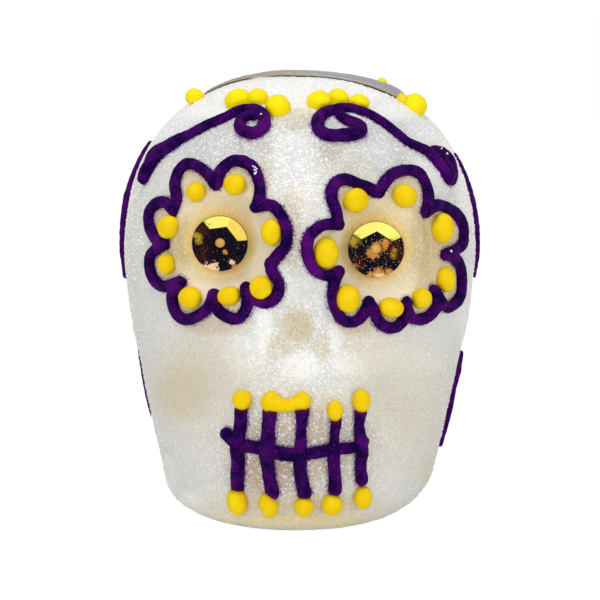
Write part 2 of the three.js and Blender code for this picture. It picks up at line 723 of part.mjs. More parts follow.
// Joins flat rings, each an underside and the same upper side in reverse, and closes both ends straight across
function sheetSolid(rings) {
  const count = rings[0].length;
  const points = rings.flat();
  const triangles = [];
  for (let r = 0; r < rings.length - 1; r += 1) {
    for (let k = 0; k < count; k += 1) {
      const a = r * count + k;
      const b = r * count + ((k + 1) % count);
      triangles.push(a, b, b + count, a, b + count, a + count);
    }
  }
  const lastRing = (rings.length - 1) * count;
  for (let k = 0; k < count / 2 - 1; k += 1) {
    const mirror = count - 1 - k;
    triangles.push(k, mirror, mirror - 1, k, mirror - 1, k + 1);
    triangles.push(lastRing + k, lastRing + mirror - 1, lastRing + mirror);
    triangles.push(lastRing + k, lastRing + k + 1, lastRing + mirror - 1);
  }
  const geometry = new THREE.BufferGeometry().setFromPoints(points);
  geometry.setIndex(triangles);
  return toSolid(geometry);
}

// Assembly

const skull = new THREE.Group();

function addPiece(name, solid, material) {
  const mesh = new THREE.Mesh(toGeometry(solid), material);
  mesh.name = name;
  skull.add(mesh);
}

function addSkull() {
  const middle = scoopedMiddle();
  addPiece("face_half", skullHalf(true, faceColumns, faceRows).subtract(middle), sugar);
  addPiece("back_half", skullHalf(false, backColumns, backRows).subtract(middle), sugar);
  addPiece("seam_icing", seamIcing().subtract(middle), whiteIcing);
}

function addEye(side, placeShares, petals, dotShares, turn) {
  const places = carriedFrom(placeShares, flowerRadius, dotShares, clearance + dotHeight / 2);
  const dots = places.map((place, i) => ({ place, radius: eyeDotRadius * dotShares[i][2] }));
  const cutters = dots.map(({ place, radius }) => pipedDot(place, { radius, grow: clearance }));
  addPiece(`${side}_eye_flower`, cutClear(flower(placeShares, petals), ...cutters), purpleIcing);
  dots.forEach(({ place, radius }, i) => {
    addPiece(`${side}_eye_dot_${i + 1}`, pipedDot(place, { radius }), yellowIcing);
  });
  const [seat] = carriedFrom(placeShares, flowerRadius, [[0, 0]], 2 * clearance + dabThickness);
  const facing = sugarNormal(seat);
  addPiece(`${side}_sequin_icing`, sequinDab(seat, facing), whiteIcing);
  const lifted = seat.clone().addScaledVector(facing, 2 * clearance + dabThickness);
  addPiece(`${side}_eye_sequin`, sequin(lifted, facing, turn), goldFilm);
}

function addForehead() {
  const places = carriedFrom(foreheadPlaceShares, scrollLength, foreheadDotShares, clearance + dotHeight / 2);
  const dots = places.map((place, i) => ({ place, radius: foreheadDotRadius * foreheadDotShares[i][2] }));
  const solids = dots.map((dot) => pipedDot(dot.place, { radius: dot.radius }));
  const cutters = dots.map((dot) => pipedDot(dot.place, { radius: dot.radius, grow: clearance }));
  solids.forEach((solid, i) => {
    const earlier = cutters.slice(0, i);
    addPiece(`forehead_dot_${i + 1}`, cutClear(solid, ...earlier), yellowIcing);
  });
  const leftScroll = scroll(leftScrollPlaceShares, leftScrollShares);
  const rightScroll = scroll(rightScrollPlaceShares, rightScrollShares);
  addPiece("left_brow_scroll", cutClear(leftScroll, ...cutters), purpleIcing);
  addPiece("right_brow_scroll", cutClear(rightScroll, ...cutters), purpleIcing);
}

function toothDot([, , wide, high, lean], place, grow = 0) {
  return pipedDot(place, { radius: toothDotRadius * wide, high: high / wide, lean, grow });
}

function addMouth() {
  const dotRise = clearance + dotHeight / 2;
  const upperPlaces = carriedFrom(mouthPlaceShares, mouthHalfWidth, upperToothDotShares, dotRise);
  const lowerPlaces = carriedFrom(mouthPlaceShares, mouthHalfWidth, lowerToothDotShares, dotRise);
  const upper = (grow) => upperToothDotShares.map((dot, i) => toothDot(dot, upperPlaces[i], grow));
  const lower = (grow) => lowerToothDotShares.map((dot, i) => toothDot(dot, lowerPlaces[i], grow));
  const bridgePoints = carriedFrom(mouthPlaceShares, mouthHalfWidth, toothBridgeShares);
  const bridge = pipedLine(bridgePoints, { height: lineHeight - clearance });
  const bridgeCut = pipedLine(bridgePoints, { height: lineHeight - clearance, grow: clearance });
  const [first, second, third, fourth, fifth] = upper(0);
  addPiece("upper_tooth_dot_1", first, yellowIcing);
  addPiece("upper_tooth_dots_2_3", second.add(third).add(bridge), yellowIcing);
  addPiece("upper_tooth_dot_4", fourth, yellowIcing);
  addPiece("upper_tooth_dot_5", fifth, yellowIcing);
  lower(0).forEach((solid, i) => addPiece(`lower_tooth_dot_${i + 1}`, solid, yellowIcing));
  const linePoints = carriedFrom(mouthPlaceShares, mouthHalfWidth, mouthLineShares);
  const lineOptions = { width: toothLineWidth, height: lineHeight };
  addPiece("mouth_line", pipedLine(linePoints, lineOptions), purpleIcing);
  const lineCut = pipedLine(linePoints, { ...lineOptions, grow: clearance });
  const lineCurve = new THREE.CatmullRomCurve3(linePoints, false, "centripetal");
  const crossed = lineCurve.getSpacedPoints(crossingSteps);
  const lift = (place) => {
    const apart = Math.min(...crossed.map((point) => point.distanceTo(place)));
    const near = clampShare(1 - apart / (climbReachShare * toothLineWidth));
    return climbHeightShare * lineHeight * near ** 2 * (3 - 2 * near);
  };
  toothStrokeShares.forEach((shares, i) => {
    const points = carriedFrom(mouthPlaceShares, mouthHalfWidth, shares);
    const stroke = pipedLine(points, { width: toothLineWidth, height: lineHeight, lift });
    const piece = cutClear(stroke, lineCut, bridgeCut, ...upper(clearance), ...lower(clearance));
    addPiece(`tooth_stroke_${i + 1}`, piece, purpleIcing);
  });
}

function addSideLines() {
  for (const [name, { side, lead, heights }] of Object.entries(sideLineShares)) {
    const points = heights.map((share) => {
      const height = share * skullHeight;
      return onSugar(new THREE.Vector3(side * planRadius(side, 0, height), -lead * faceDepth, height));
    });
    const line = pipedLine(points, { width: sideLineWidth, height: sideLineHeight, step: sideLineStep });
    addPiece(`side_line_${name}`, line, purpleIcing);
  }
}

function foilSmear() {
  const points = carriedFrom(foilPlaceShares, foilWidth, foilSmearShares, smearHeight / 2);
  return pipedLine(points, { width: smearWidth, height: smearHeight });
}

function addFoil() {
  const foilCut = foilStrip(clearance);
  addPiece("crown_foil", foilStrip(), silverFoil);
  for (const [name, [across, up, size]] of Object.entries(foilDotShares)) {
    const [place] = carriedFrom(foilPlaceShares, foilWidth, [[across, up]]);
    const dot = pipedDot(place, { radius: foilDotRadius * size, height: dotHeight + clearance + foilThickness });
    const piece = name === "foil_dot_right" ? dot.add(foilSmear()) : dot;
    addPiece(name, cutClear(piece, foilCut), yellowIcing);
  }
}

addSkull();
addEye("left", leftEyePlaceShares, leftPetalShares, leftEyeDotShares, leftSequinTurn);
addEye("right", rightEyePlaceShares, rightPetalShares, rightEyeDotShares, rightSequinTurn);
addForehead();
addMouth();
addSideLines();
addFoil();

// The part's origin is the middle of its box, at the base
const box = new THREE.Box3().setFromObject(skull);
skull.position.set(-(box.min.x + box.max.x) / 2, -(box.min.y + box.max.y) / 2, -box.min.z);

export default skull;
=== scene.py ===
# %% [markdown]
# # A sugar skull, dressed for its portrait
#
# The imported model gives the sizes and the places: two moulded halves, the icing between them, and every
# piped stroke, dot, sequin and foil strip. This lesson gives each of them the skin it has in the hand:
# grainy sugar, soft icing, pressed gold film and thin foil.

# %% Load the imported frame
import math
import bpy
import numpy as np
from mathutils import Matrix, Vector
from mathutils.bvhtree import BVHTree
from mathutils.kdtree import KDTree


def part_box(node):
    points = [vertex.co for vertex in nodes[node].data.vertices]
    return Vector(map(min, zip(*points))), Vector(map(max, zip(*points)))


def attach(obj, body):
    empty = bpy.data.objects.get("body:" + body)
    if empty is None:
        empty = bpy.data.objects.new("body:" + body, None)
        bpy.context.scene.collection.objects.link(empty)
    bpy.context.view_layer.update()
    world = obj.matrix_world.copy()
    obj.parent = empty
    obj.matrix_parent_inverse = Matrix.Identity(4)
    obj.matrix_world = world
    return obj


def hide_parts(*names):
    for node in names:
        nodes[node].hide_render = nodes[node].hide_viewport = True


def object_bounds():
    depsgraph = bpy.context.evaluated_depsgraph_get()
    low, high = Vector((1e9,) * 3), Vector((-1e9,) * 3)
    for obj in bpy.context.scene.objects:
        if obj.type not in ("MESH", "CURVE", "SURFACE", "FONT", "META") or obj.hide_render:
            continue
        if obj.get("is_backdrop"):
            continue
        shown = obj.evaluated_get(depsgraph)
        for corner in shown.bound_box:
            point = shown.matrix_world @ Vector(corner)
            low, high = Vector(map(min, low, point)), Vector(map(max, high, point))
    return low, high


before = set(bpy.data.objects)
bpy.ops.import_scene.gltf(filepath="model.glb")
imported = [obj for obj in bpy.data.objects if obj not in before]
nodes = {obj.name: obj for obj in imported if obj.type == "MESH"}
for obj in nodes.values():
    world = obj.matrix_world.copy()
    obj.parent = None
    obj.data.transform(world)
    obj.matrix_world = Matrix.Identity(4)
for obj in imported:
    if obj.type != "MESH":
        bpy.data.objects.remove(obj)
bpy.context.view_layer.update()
MM = 0.001

# %% [markdown]
# ## Two helpers for node trees
#
# Materials and Geometry Nodes are both graphs. Building them by hand in code soon becomes unreadable, so a
# `Wire` stands for one output socket, and arithmetic on it adds Math nodes. A `Bench` adds every other
# node: its type, its settings, and the values or wires of its sockets.

# %% Wires and the bench that adds nodes


def arithmetic(operation, swapped=False):
    """An operator of a wire: a Math node of the wire and the other value, in this order or swapped."""
    def method(wire, other):
        values = [other, wire] if swapped else [wire, other]
        return wire.bench.add("ShaderNodeMath", {"operation": operation}, values)
    return method


class Wire:
    """One output of a node. Sums, products and the like add Math nodes behind it."""

    def __init__(self, bench, node, output=0):
        self.bench, self.node, self.socket = bench, node, node.outputs[output]

    def out(self, output):
        return Wire(self.bench, self.node, output)

    def maths(self, operation, *others):
        return self.bench.add("ShaderNodeMath", {"operation": operation}, [self, *others])

    __add__ = __radd__ = arithmetic("ADD")
    __mul__ = __rmul__ = arithmetic("MULTIPLY")
    __sub__, __rsub__ = arithmetic("SUBTRACT"), arithmetic("SUBTRACT", swapped=True)
    __truediv__, __pow__ = arithmetic("DIVIDE"), arithmetic("POWER")

    def between(self, low, high):
        """0 at low, 1 at high, smooth in between."""
        settings = {"interpolation_type": "SMOOTHSTEP", "clamp": True}
        values = {"Value": self, "From Min": low, "From Max": high}
        return self.bench.add("ShaderNodeMapRange", settings, values)


class Bench:
    """A node tree under construction."""

    def __init__(self, tree):
        self.tree = tree

    def add(self, kind, settings=None, values=(), output=0):
        node = self.tree.nodes.new(kind)
        for name, setting in (settings or {}).items():
            setattr(node, name, setting)
        pairs = values.items() if isinstance(values, dict) else enumerate(values)
        for name, value in pairs:
            if isinstance(value, Wire):
                self.tree.links.new(value.socket, node.inputs[name])
            else:
                node.inputs[name].default_value = value
        return Wire(self, node, output)

    def mixed(self, share, first, second, blend="MIX"):
        """Two colours mixed; a plain colour is three numbers."""
        settings = {"data_type": "RGBA", "blend_type": blend, "clamp_factor": True}
        first, second = (c if isinstance(c, Wire) else (*c, 1) for c in (first, second))
        return self.add("ShaderNodeMix", settings, {0: share, 6: first, 7: second}, output=2)

    def scaled(self, vector, factor):
        return self.add("ShaderNodeVectorMath", {"operation": "SCALE"}, {0: vector, "Scale": factor})

    def moved(self, vector, offset):
        return self.add("ShaderNodeVectorMath", {"operation": "ADD"}, [vector, offset])

    def noise(self, place, scale, detail=2.0):
        return self.add("ShaderNodeTexNoise", None, {"Vector": place, "Scale": scale, "Detail": detail})

    def bumped(self, height, strength, distance):
        values = {"Strength": strength, "Distance": distance, "Height": height}
        return self.add("ShaderNodeBump", None, values)


print("helpers ready")

# %% [markdown]
# ## The camera comes first
#
# The strokes on this skull were piped by hand, so no rule gives their paths. They are read off the
# portrait instead, and to carry a drawn point back to the sugar we need the line of sight through it. The
# camera looks slightly down at the face, from a little under 40 cm away.

# %% Camera and lines of sight
PICTURE = 600
SENSOR = 36
PICTURE_SCALE = 5.8 / MM
SIGHT_DISTANCE = 384 * MM
SIGHT_TILT = math.radians(9)
SIGHT_LEVEL_SHARE = 0.5354
SKULL_WIDTH, SKULL_HEIGHT = 65.8 * MM, 78.4 * MM
FACE_DEPTH, BACK_DEPTH = 37 * MM, 37 * MM

face_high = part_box("face_half")[1]
back_low, back_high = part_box("back_half")
axis = Vector(((back_low.x + back_high.x) / 2, (face_high.y + back_low.y) / 2, 0))
sight_axis = Vector((0, -math.cos(SIGHT_TILT), math.sin(SIGHT_TILT)))
sight_up = Vector((0, math.sin(SIGHT_TILT), math.cos(SIGHT_TILT)))
picture_middle = axis + Vector((0, -FACE_DEPTH, SIGHT_LEVEL_SHARE * SKULL_HEIGHT))
eye = picture_middle + sight_axis * SIGHT_DISTANCE


def sight(u, v):
    """Direction from the eye through a point of the picture."""
    across = (u - PICTURE / 2) / PICTURE_SCALE
    up = (PICTURE / 2 - v) / PICTURE_SCALE
    return (picture_middle + Vector((across, 0, 0)) + sight_up * up - eye).normalized()


def picture_points(points):
    """Across and down in the picture, for many places at once."""
    apart = np.asarray(points) - np.array(eye)
    ahead = apart @ -np.array(sight_axis)
    enlarged = PICTURE_SCALE * SIGHT_DISTANCE / ahead
    return PICTURE / 2 + apart[:, 0] * enlarged, PICTURE / 2 - apart @ np.array(sight_up) * enlarged


camera = bpy.data.objects.new("camera", bpy.data.cameras.new("camera"))
bpy.context.scene.collection.objects.link(camera)
camera.location = eye
camera.rotation_mode = "QUATERNION"
camera.rotation_quaternion = (-sight_axis).to_track_quat("-Z", "Y")
camera.data.sensor_width = SENSOR
camera.data.lens = SENSOR * PICTURE_SCALE * SIGHT_DISTANCE / PICTURE
camera.data.clip_start, camera.data.clip_end = 0.01, 20
bpy.context.scene.camera = camera
print("lens", round(camera.data.lens, 1), "mm, joint at y =", round(axis.y / MM, 2), "mm")

# %% [markdown]
# ## The form of the skull
#
# A moulded skull has no undercuts, or it would not leave its mould. So one rule is enough: at each height,
# and in each direction of the plan, the sugar lies at one distance from the upright axis. The plan is a
# rounded oval, the outline swells to the temples and closes over the crown, and soft bumps and hollows
# give the brow, cheeks, muzzle, nose and sockets. NumPy works out all the points at once.

# %% Outline of the mould
WIDEST_LEVEL = 0.57
JAW_WIDTH, JAW_LEAN, JAW_FRONT, JAW_BACK = 0.746, 0.011, 0.98, 0.86
TAPER, CROWN_RISE, CROWN_ROUND, PLAN_ROUND = 1.25, 2.3, 2.45, 2.2
BASE_CORNER, CORNER_LEAN = 4.2 * MM, 1.4 * MM
JOINT_HALF = 0.3 * MM
TINY = 1e-9


def full_share(height, jaw):
    level = height / SKULL_HEIGHT
    above = np.clip((level - WIDEST_LEVEL) / (1 - WIDEST_LEVEL), 0, 1)
    below = np.clip((WIDEST_LEVEL - level) / WIDEST_LEVEL, 0, 1)
    crown = (1 - above**CROWN_RISE) ** (1 / CROWN_ROUND)
    return np.where(level > WIDEST_LEVEL, crown, 1 - (1 - jaw) * below**TAPER)


def corner_inset(height, cosine):
    radius = BASE_CORNER + CORNER_LEAN * cosine
    drop = radius * np.clip(1 - height / radius, 0, 1)
    return radius - np.sqrt(radius**2 - drop**2)


print("half full at the crown from", round(float(full_share(0.99 * SKULL_HEIGHT, 1)), 2), "of the width")

# %% Relief of the face
NOSE_DEPTH, NOSE_HEIGHT, NOSE_HALF_WIDTH, NOSE_LEVEL = 2.4 * MM, 8.6 * MM, 4.5 * MM, 0.458
# Rise, place across as a share of half the width, level as a share of the height, radius, fullness
RELIEF = {
    "cheek hollow": (-2.2 * MM, 0.59, 0.32, 9 * MM, 1),
    "cheek bone": (0.9 * MM, 0.84, 0.44, 9 * MM, 1),
    "muzzle": (1.4 * MM, 0, 0.2, 15 * MM, 2),
    "brow": (0.9 * MM, 0, 0.7, 8 * MM, 1),
    "nose spine": (1.0 * MM, 0, 0.4, 4 * MM, 1),
}
SOCKET_RADIUS, DAB_GAP = 10.5 * MM, 0.3 * MM
FACE_SINE, SOCKET_SINE = 0.5, 0.3


def bump(across, up, radius, fullness=1):
    apart = np.clip(np.hypot(across, up) / radius, 0, 1)
    return (1 - apart ** (2 * fullness)) ** 2


def nose_hollow(x, height):
    down = np.clip((NOSE_LEVEL * SKULL_HEIGHT + NOSE_HEIGHT / 2 - height) / NOSE_HEIGHT, 0, 1)
    across = np.clip(np.abs(x) / (NOSE_HALF_WIDTH * (down + 1) / 2), 0, 1)
    return (1 - across**2) ** 2 * np.sin(np.pi * down) * (down + 1) / 2


def face_relief(x, height):
    """How far the face stands out or sinks in."""
    relief = -NOSE_DEPTH * nose_hollow(x, height)
    for rise, across, level, radius, fullness in RELIEF.values():
        apart = np.abs(x) - across * SKULL_WIDTH / 2
        relief = relief + rise * bump(apart, height - level * SKULL_HEIGHT, radius, fullness)
    return relief


sockets = []
for side in ("left", "right"):
    low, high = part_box(f"{side}_sequin_icing")
    sockets.append((low + high) / 2 - axis + Vector((0, (high.y - low.y) / 2 + DAB_GAP, 0)))


def sugar_distance(cosine, sine, height):
    """How far the sugar lies from the axis: the oval plan, the face's relief, the flat-floored sockets."""
    inset = corner_inset(height, cosine)
    wide = SKULL_WIDTH / 2 * full_share(height, JAW_WIDTH - JAW_LEAN * cosine) - inset
    front = FACE_DEPTH * full_share(height, JAW_FRONT) - inset
    rear = BACK_DEPTH * full_share(height, JAW_BACK) - inset
    wide, deep = np.maximum(wide, TINY), np.maximum(np.where(sine < 0, front, rear), TINY)
    oval = (np.abs(cosine) / wide) ** PLAN_ROUND + (np.abs(sine) / deep) ** PLAN_ROUND
    plain = oval ** (-1 / PLAN_ROUND)
    out = plain + face_relief(plain * cosine, height) * np.clip(-sine / FACE_SINE, 0, 1)
    for middle in sockets:
        floor = (middle.y + JOINT_HALF) / np.minimum(sine, -1e-3)
        across = cosine * (floor + plain) / 2 - middle.x
        share = bump(across, height - middle.z, SOCKET_RADIUS, 2) * (sine < -SOCKET_SINE)
        out = out + (floor - out) * share
    return np.where(sine < 0, out, plain)


print("sockets at", [tuple(round(c / MM, 1) for c in s) for s in sockets])

# %% [markdown]
# ## The skin as a grid
#
# A grid of points over that form is easy to close and to refine. Rows run round the skull and are gathered
# near the base corner. Columns run from joint to joint, closer together on the face. The grid also serves
# the lines of sight: a coarse copy, swollen by a bead's rise, tells where the middle of a bead lies.

# %% Grid of one half
CORNER_ROWS, CORNER_CROWDING = 10, 1.5
FACE_CROWDING, BACK_CROWDING = 0.2, 0.05
FACE_SINK, BACK_SINK = 0.1 * MM, 0.3 * MM


def half_grid(front, columns, rows, swell=0.0):
    way = -1 if front else 1
    corner = BASE_CORNER * (np.arange(CORNER_ROWS) / CORNER_ROWS) ** CORNER_CROWDING
    share = np.arange(rows) / rows
    rest = BASE_CORNER + (SKULL_HEIGHT - BASE_CORNER) * np.sin(np.pi / 4 * (share + share**2))
    height = np.concatenate([corner, rest])[:, None]
    even = np.linspace(0, np.pi, columns + 1)[None, :]
    turn = even + (FACE_CROWDING if front else BACK_CROWDING) * np.sin(2 * even)
    out = sugar_distance(np.cos(turn), way * np.maximum(np.sin(turn), TINY), height) + swell
    deep = np.where((even > 0) & (even < np.pi), out * np.sin(turn), 0)
    grid = np.stack([out * np.cos(turn), way * (JOINT_HALF + deep), height + 0 * turn], -1)
    crown = np.array([0, way * JOINT_HALF, SKULL_HEIGHT])
    return grid, crown


def grid_quads(index):
    """Four corners for each square of a grid of point numbers."""
    return np.stack([index[:-1, :-1], index[:-1, 1:], index[1:, 1:], index[1:, :-1]], -1).reshape(-1, 4)


def closed_half(front, columns, rows):
    """Vertices and outward faces of a half, closed by its base, its rim and the crown point."""
    grid, crown = half_grid(front, columns, rows, -(FACE_SINK if front else BACK_SINK))
    tall, wide = grid.shape[:2]
    foot = np.array([0, (-1 if front else 1) * FACE_DEPTH / 2, 0])
    points = np.concatenate([grid.reshape(-1, 3), [crown, foot]])
    index = np.arange(tall * wide).reshape(tall, wide)
    faces = grid_quads(index).tolist()
    faces += [[index[r, -1], index[r, 0], index[r + 1, 0], index[r + 1, -1]] for r in range(tall - 1)]
    top, base = tall * wide, tall * wide + 1
    upper, lower = [*index[-1], index[-1, 0]], [*index[0], index[0, 0]]
    faces += [[a, b, top] for a, b in zip(upper, upper[1:])]
    faces += [[b, a, base] for a, b in zip(lower, lower[1:])]
    if front:
        faces = [face[::-1] for face in faces]
    return points + np.array(axis), faces


print("half grids ready")

# %% Meshes and the numbers stored on them


def add_mesh(name, points, faces, edges=()):
    mesh = bpy.data.meshes.new(name)
    mesh.from_pydata([tuple(p) for p in points], list(edges), faces)
    mesh.update()
    made = bpy.data.objects.new(name, mesh)
    bpy.context.scene.collection.objects.link(made)
    return made


def smooth(piece):
    piece.data.shade_smooth()
    return piece


def store(piece, name, values):
    """One number per point of a piece, for its tree or its material to read."""
    values = np.broadcast_to(np.asarray(values, np.float32), len(piece.data.vertices))
    piece.data.attributes.new(name, "FLOAT", "POINT").data.foreach_set("value", values)


def places(piece):
    return np.array([corner.co for corner in piece.data.vertices])


print("mesh helpers ready")

# %% [markdown]
# ## Carrying the drawing to the sugar
#
# A ray from the camera through a drawn point meets the swollen skin where the middle of the bead has to
# be. A few dots sit on the outline of the crown, where the ray passes the sugar by a hair: those take the
# nearest place on the skin. Along the joint the rays graze the sugar, and a pixel there can mean a
# centimetre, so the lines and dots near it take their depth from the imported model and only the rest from
# the picture.

# %% From a picture point to a place on the sugar
SIGHT_COLUMNS, SIGHT_ROWS, SIGHT_STEPS = 120, 110, 80


def skin_tree(swell):
    """Finds where a ray meets the skin, swollen all round."""
    points, faces, start = [], [], 0
    for front in (True, False):
        grid, crown = half_grid(front, SIGHT_COLUMNS, SIGHT_ROWS, swell)
        grid[:, [0, -1], 1] = crown[1] = 0
        tall, wide = grid.shape[:2]
        index = start + np.arange(tall * wide).reshape(tall, wide)
        quads = grid_quads(index)
        if front:
            quads = quads[:, ::-1]
        top = start + tall * wide
        points += [grid.reshape(-1, 3), crown[None, :] + [[0, 0, swell]]]
        faces += quads.tolist() + [[index[-1, k], index[-1, k + 1], top] for k in range(wide - 1)]
        start = top + 1
    joined = np.concatenate(points) + np.array(axis)
    return BVHTree.FromPolygons([tuple(p) for p in joined], faces)


skin_trees = {}


def swollen(rise):
    key = round(rise / MM, 3)
    if key not in skin_trees:
        skin_trees[key] = skin_tree(rise)
    return skin_trees[key]


def carried(u, v, rise=0.0):
    """Place and outward direction of the skin, swollen by rise, behind a point of the picture."""
    tree, direction = swollen(rise), sight(u, v)
    place, normal, _, _ = tree.ray_cast(eye, direction)
    if place is None:
        reach = np.linspace(SIGHT_DISTANCE, SIGHT_DISTANCE + FACE_DEPTH + BACK_DEPTH, SIGHT_STEPS)
        near = (tree.find_nearest(eye + direction * r) for r in reach)
        place, normal, _, _ = min(near, key=lambda found: found[3])
    outward = place - axis - Vector((0, 0, SKULL_HEIGHT / 2))
    return place, normal if normal.dot(outward) > 0 else -normal


def at_depth(depth):
    """Carries a picture point to the upright plane at a depth."""
    def carry(u, v, rise):
        direction = sight(u, v)
        return eye + direction * ((depth - eye.y) / direction.y), sight_axis
    return carry


def beside(depth):
    """Carries a picture point to the flank of the skull at a depth, keeping its height."""
    def carry(u, v, rise):
        way, height = math.copysign(1, u - PICTURE / 2), at_depth(depth)(u, v, rise)[0].z
        start = Vector((SKULL_WIDTH * way, depth, height))
        return swollen(rise).ray_cast(start, Vector((-way, 0, 0)))[:2]
    return carry


print("the picture's middle lies at", [round(c / MM, 1) for c in carried(300, 300)[0]])

# %% Smooth lines through drawn points


def soft_line(points, step=2.0):
    """A smooth line through drawn points, as closely spaced picture points."""
    p = np.array([points[0], *points, points[-1]], float)
    p[0], p[-1] = 2 * p[1] - p[2], 2 * p[-2] - p[-3]
    line = []
    for before, start, end, after in zip(p, p[1:], p[2:], p[3:]):
        bend = 2 * before - 5 * start + 4 * end - after
        swing = 3 * start - before - 3 * end + after
        count = max(2, int(np.linalg.norm(end - start) / step))
        for t in np.arange(count) / count:
            line.append(0.5 * (2 * start + (end - before) * t + bend * t**2 + swing * t**3))
    return [*line, p[-2]]


print("a line of three points gets", len(soft_line([(0, 0), (10, 0), (20, 0)])), "points")

# %% [markdown]
# ## Piping a line of icing
#
# Royal icing leaves a round nozzle as a bead: nearly round, sunk a little into the grains, never quite
# even, and round at both ends. Geometry Nodes suit this well, because one tree can turn every drawn line
# into a bead: it resamples the curve, thins it towards its ends, adds the hand's unevenness and sweeps a
# circle.

# %% Geometry Nodes: the piped bead


def geometry_tree(name, inputs):
    """A Geometry Nodes tree with named inputs: its bench, those inputs by name, and the group output."""
    tree = bpy.data.node_groups.new(name, "GeometryNodeTree")
    tree.interface.new_socket("Geometry", in_out="INPUT", socket_type="NodeSocketGeometry")
    for label, kind in inputs.items():
        tree.interface.new_socket(label, in_out="INPUT", socket_type="NodeSocket" + kind)
    tree.interface.new_socket("Geometry", in_out="OUTPUT", socket_type="NodeSocketGeometry")
    bench = Bench(tree)
    source = bench.add("NodeGroupInput")
    sink = tree.nodes.new("NodeGroupOutput")
    given = {label: source.out(i) for i, label in enumerate(["Geometry", *inputs])}
    return bench, given, sink


def finish_tree(bench, sink, geometry, material):
    real = bench.add("GeometryNodeRealizeInstances", None, [geometry])
    painted = bench.add("GeometryNodeSetMaterial", None, {"Geometry": real, "Material": material})
    bench.tree.links.new(painted.socket, sink.inputs[0])
    return bench.tree


def named(bench, name, kind="FLOAT"):
    return bench.add("GeometryNodeInputNamedAttribute", {"data_type": kind}, {"Name": name})


def in_millimetres(bench):
    return bench.scaled(bench.add("GeometryNodeInputPosition"), 1 / MM)


def pushed_out(bench, geometry, distance):
    """Moves the points of a surface along their normals."""
    push = bench.scaled(bench.add("GeometryNodeInputNormal"), distance)
    return bench.add("GeometryNodeSetPosition", None, {"Geometry": geometry, "Offset": push})


def bead_tree():
    bench, given, sink = geometry_tree("piped_bead", {
        "Step": "Float", "Unevenness": "Float", "Lumps": "Float", "Seed": "Int", "Material": "Material"})
    curve = bench.add("GeometryNodeMeshToCurve", None, [given["Geometry"]])
    stepped = {"Curve": curve, "Length": given["Step"]}
    curve = bench.add("GeometryNodeResampleCurve", {"mode": "LENGTH"}, stepped)
    radius = named(bench, "bead_radius")
    along = bench.add("GeometryNodeSplineParameter").out("Length")
    whole = bench.add("GeometryNodeSplineLength")
    from_end = along.maths("MINIMUM", whole - along)
    missing = (1 - from_end / radius).maths("MAXIMUM", 0)
    roundness = (1 - missing * missing).maths("MAXIMUM", 0.004).maths("SQRT")
    shifted = bench.moved(in_millimetres(bench), given["Seed"])
    even = 1 + (bench.noise(shifted, 0.35, 1.0) - 0.5) * given["Unevenness"]
    circle = bench.add("GeometryNodeCurvePrimitiveCircle", None, {"Resolution": 22, "Radius": 1.0})
    tube = bench.add("GeometryNodeCurveToMesh", None, {
        "Curve": curve, "Profile Curve": circle, "Scale": radius * roundness * even, "Fill Caps": True})
    lumps = (bench.noise(shifted, 1.5) - 0.5) * given["Lumps"]
    return finish_tree(bench, sink, pushed_out(bench, tube, lumps), given["Material"])


bead_nodes = bead_tree()
print("bead tree has", len(bead_nodes.nodes), "nodes")

# %% Running a tree on a piece


def run_tree(piece, tree, values, more=()):
    """Runs a tree, with other modifiers after it, and keeps the result as the piece's plain mesh."""
    modifier = piece.modifiers.new("tree", "NODES")
    modifier.node_group = tree
    for item in tree.interface.items_tree:
        if item.in_out == "INPUT" and item.name in values:
            modifier[item.identifier] = values[item.name]
    for kind, settings in more:
        extra = piece.modifiers.new(kind.lower(), kind)
        for name, setting in settings.items():
            setattr(extra, name, setting)
    evaluated = piece.evaluated_get(bpy.context.evaluated_depsgraph_get())
    mesh = bpy.data.meshes.new_from_object(evaluated)
    piece.modifiers.clear()
    piece.data = mesh
    return piece


print("trees can run")

# %% [markdown]
# ## Finishes: granulated sugar
#
# Moulded sugar is damp sugar that has dried hard. Where the grains lie loose it glitters nearly white,
# where it was pressed dense it is smooth and warm, and between the two it is a plain pale grey. The same
# colours also carry painted light and shade: the white paints light on the crown, the warm colour and a
# dull brown paint shade in the hollows, a grey-blue paints shade on the forehead, and a tan floor paints
# the shade of the sockets and the glow of the gold. Icing colour creeps a little way between the grains,
# so the sugar beside a violet bead turns lilac, grain by grain, and beside a yellow dot it turns pale
# yellow. Each of these is an attribute on the mesh, and Voronoi cells give every grain its own tone and
# gloss, with painted glints and painted grain shadows among them.

# %% Sugar colours


def material(name, build, **plain):
    made = bpy.data.materials.new(name)
    made.use_nodes = True
    bench = Bench(made.node_tree)
    shader = made.node_tree.nodes["Principled BSDF"]
    for socket, value in plain.items():
        shader.inputs[socket.replace("_", " ")].default_value = value
    for socket, wire in build(bench).items():
        made.node_tree.links.new(wire.socket, shader.inputs[socket])
    return made


def object_place(bench):
    return bench.scaled(bench.add("ShaderNodeTexCoord").out("Object"), 1 / MM)


def attribute(bench, name):
    return bench.add("ShaderNodeAttribute", {"attribute_name": name}).out("Fac")


def grain_cells(bench, place, scale):
    cells = bench.add("ShaderNodeTexVoronoi", None, {"Vector": place, "Scale": scale})
    tone = bench.add("ShaderNodeSeparateColor", None, [cells.out("Color")])
    return cells, tone


# Painted light and shade: the loose white also paints light on the crown, the dense warm colour also paints
# shade in the hollows.
PLAIN_SUGAR, LOOSE_AND_LIT_SUGAR, DENSE_AND_SHADED_SUGAR = (0.715, 0.705, 0.665), (0.97, 0.965, 0.945), (0.72, 0.645, 0.475)
# The dull brown also paints shade in recesses and on the socket floors; the grey-blue multiply is painted
# shade.
DULL_AND_SHADED_SUGAR, SHADED = (0.50, 0.385, 0.27), (0.80, 0.82, 0.85)
# The floor colours paint the sockets' shade, lighter at the nose side and darker at the outer side, and a
# painted glow of the gold.
FLOOR, LIT_FLOOR, SHADED_FLOOR = (0.78, 0.655, 0.42), (0.96, 0.86, 0.66), (0.57, 0.445, 0.22)
FLOOR_BY_GOLD = (0.98, 0.71, 0.23)


